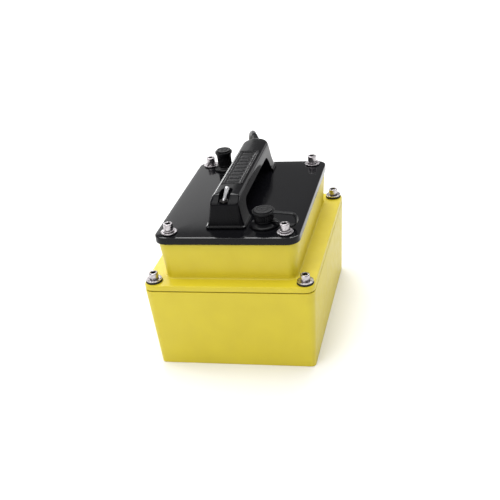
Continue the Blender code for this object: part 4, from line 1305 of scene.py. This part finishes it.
def cap_body(side):
    """The dust cap: a skirt with upright ribs, a neck that the strap's collar turns on, and a top with two
    round lands; one line out along the ceiling, down inside the skirt, up its outside and in over the top."""
    sizes = socket_sizes(side)
    skirt, foot, top, collar = (sizes[key] for key in ("skirt", "skirt_foot", "cap_top", "collar_foot"))
    bore, wide, flare = BARREL[side] + 0.4, COLLAR[side], FLARE[side]
    ceiling, disc, above = collar - 0.9, wide - 1.3, collar + 2.7
    line = rounded_profile([
        (0.5, ceiling, 0), (bore, ceiling, 0.4), (bore, foot, 0.2), (skirt - 0.5, foot, 0.3),
        (skirt - 0.35, foot + 1.0, 0.4), (skirt - 0.35, collar - flare - 0.4, flare * 0.6),
        (wide - 0.6, collar - 0.5, 0.3), (wide - 0.9, collar - 0.15, 0.2), (skirt - 1, collar - 0.15, 0),
        (skirt - 1, above, 0.1), (disc, above, 0.2), (disc, top - 0.45, 0.4), (disc - 1.2, top, 0.4),
        (disc * 0.68, top, 0.25), (disc * 0.66, top - 0.4, 0.2), (disc * 0.52, top - 0.4, 0.2),
        (disc * 0.5, top - 0.05, 0.25), (disc * 0.24, top - 0.05, 0.25), (disc * 0.2, top - 0.4, 0.25),
        (0.5, top - 0.4, 0),
    ], 5)
    ribs = (28, 0.3, foot + 0.9, collar - flare - 0.5)
    return shell(turned(line, 168, ripple=ribs, centre=sizes["centre"]))


def strap_line(side):
    """The strap's middle line in its own upright plane: out from the collar, round a half turn, and back
    down to the ring at the socket's foot."""
    sizes = socket_sizes(side)
    high, low = sizes["collar_foot"] + 1.2, 2.4
    bend, base = (high - low) / 2, sizes["base"]
    angle = np.linspace(math.pi / 2, -math.pi / 2, 33)
    half_turn = np.stack([
        STRAP_REACH[side] - 0.8 * bend + 0.8 * bend * np.cos(angle), (high + low) / 2 + bend * np.sin(angle),
    ], axis=-1)
    out = np.linspace((COLLAR[side] - 0.9, high), half_turn[0], 12)[:-1]
    foot = rounded_profile([
        (*half_turn[-1], 0), (base + 3, low + 0.5, 2.5), (base - 0.8, 5.1, 1.2),
        (BARREL[side] + 1.4, sum(FOOT_RING) / 2, 0),
    ], 8)[1:]
    flat = np.concatenate([out, half_turn, foot])
    path = np.stack([flat[:, 0], np.zeros(len(flat)), flat[:, 1]], axis=-1)
    return path @ turn_about_z(STRAP_TURN[side]) + sizes["centre"]


def tether_shells(side):
    """One rubber moulding: the collar round the cap, the flat strap, whose section keeps its sides level, and
    the ring at the socket's foot."""
    sizes = socket_sizes(side)
    neck, outer, foot = sizes["skirt"] - 0.7, COLLAR[side], sizes["collar_foot"]
    top = foot + 2.4
    collar = rounded_loop([(neck, foot, 0.2), (outer, foot, 0.5), (outer, top, 0.7), (neck, top, 0.2)], 6)
    inner, wide = BARREL[side] + 0.3, BARREL[side] + 2.4
    low, high = FOOT_RING
    ring = rounded_loop([(inner, low, 0.2), (wide, low, 0.4), (wide, high, 0.4), (inner, high, 0.2)], 5)
    across = np.array((-math.sin(STRAP_TURN[side]), math.cos(STRAP_TURN[side]), 0))
    path = strap_line(side)
    lift = np.cross(directions(path), across)
    section = rounded_section(4.8, 1.4, 0.5)
    strap = path[:, None] + across * section[None, :, :1] + lift[:, None] * section[None, :, 1:]
    return [turned_ring(collar, 96, sizes["centre"]), shell(strap), turned_ring(ring, 72, sizes["centre"])]


class CONTROLBOX_OT_sockets(bpy.types.Operator):
    """Makes both round sockets with their inserts, nuts, dust caps and rubber straps"""

    bl_idname = "control_box.sockets"
    bl_label = "Sockets and caps"

    def execute(self, context):
        for side in SIDES:
            body = side + "_socket"
            add_piece(body + "_body", [socket_body(side)], socket_polyamide(), "box", [body])
            finish_node(body + "_insert", seal_rubber())
            nut = hex_nut(body + "_nut", BARREL[side] + 1.0)
            add_piece(body + "_nut_steel", [nut], turned_stainless(), "box", [body + "_nut"], 25)
            cap = cap_body(side)
            add_piece(side + "_cap_moulding", [cap], cap_rubber(), side + "_cap", [side + "_dust_cap"])
            tether = add_piece(side + "_tether_moulding", tether_shells(side), cap_rubber(), None)
            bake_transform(tether)
            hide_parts(side + "_cap_tether")
        return {"FINISHED"}


# ------------------------------------------------------------------ inside

class CONTROLBOX_OT_inside(bpy.types.Operator):
    """Finishes the pieces inside the closed box: board, standoffs, terminals, battery and its bracket"""

    bl_idname = "control_box.inside"
    bl_label = "Inside"

    def execute(self, context):
        finish_node("circuit_board", board_laminate())
        finish_node("terminal_block", socket_polyamide())
        finish_node("battery_pack", battery_wrap())
        finish_node("battery_bracket", mill_aluminium())
        for number in range(1, 5):
            finish_node(f"board_standoff_{number}", turned_stainless())
        return {"FINISHED"}


# ------------------------------------------------------------------ panel and registration

OPERATORS = (
    CONTROLBOX_OT_camera,
    CONTROLBOX_OT_lead,
    CONTROLBOX_OT_tub,
    CONTROLBOX_OT_cover,
    CONTROLBOX_OT_gaskets,
    CONTROLBOX_OT_lid,
    CONTROLBOX_OT_lid_screws,
    CONTROLBOX_OT_flange_screws,
    CONTROLBOX_OT_handle,
    CONTROLBOX_OT_grip_panel,
    CONTROLBOX_OT_toggle,
    CONTROLBOX_OT_sockets,
    CONTROLBOX_OT_inside,
    CONTROLBOX_OT_stage,
)
SETTINGS = {
    "control_box_enclosure": EnclosureSettings,
    "control_box_lid": LidSettings,
    "control_box_handle": HandleSettings,
    "control_box_lead": LeadSettings,
}


class CONTROLBOX_PT_panel(bpy.types.Panel):
    """Sizes, colours and pieces of the control box"""

    bl_idname = "CONTROLBOX_PT_panel"
    bl_label = "Control Box"
    bl_space_type = "VIEW_3D"
    bl_region_type = "UI"
    bl_category = "Control Box"

    def draw(self, context):
        column = self.layout.column()
        for name, group in SETTINGS.items():
            settings = getattr(context.scene, name)
            for setting in group.__annotations__:
                column.prop(settings, setting)
        for operator in OPERATORS:
            column.operator(operator.bl_idname)


CLASSES = (*SETTINGS.values(), *OPERATORS, CONTROLBOX_PT_panel)


def register():
    for kind in CLASSES:
        bpy.utils.register_class(kind)
    for name, group in SETTINGS.items():
        setattr(bpy.types.Scene, name, PointerProperty(type=group))


def unregister():
    for name in SETTINGS:
        delattr(bpy.types.Scene, name)
    for kind in reversed(CLASSES):
        bpy.utils.unregister_class(kind)


def main():
    register()
    for operator in OPERATORS:
        group, name = operator.bl_idname.split(".")
        getattr(getattr(bpy.ops, group), name)()


if __name__ == "__main__":
    main()
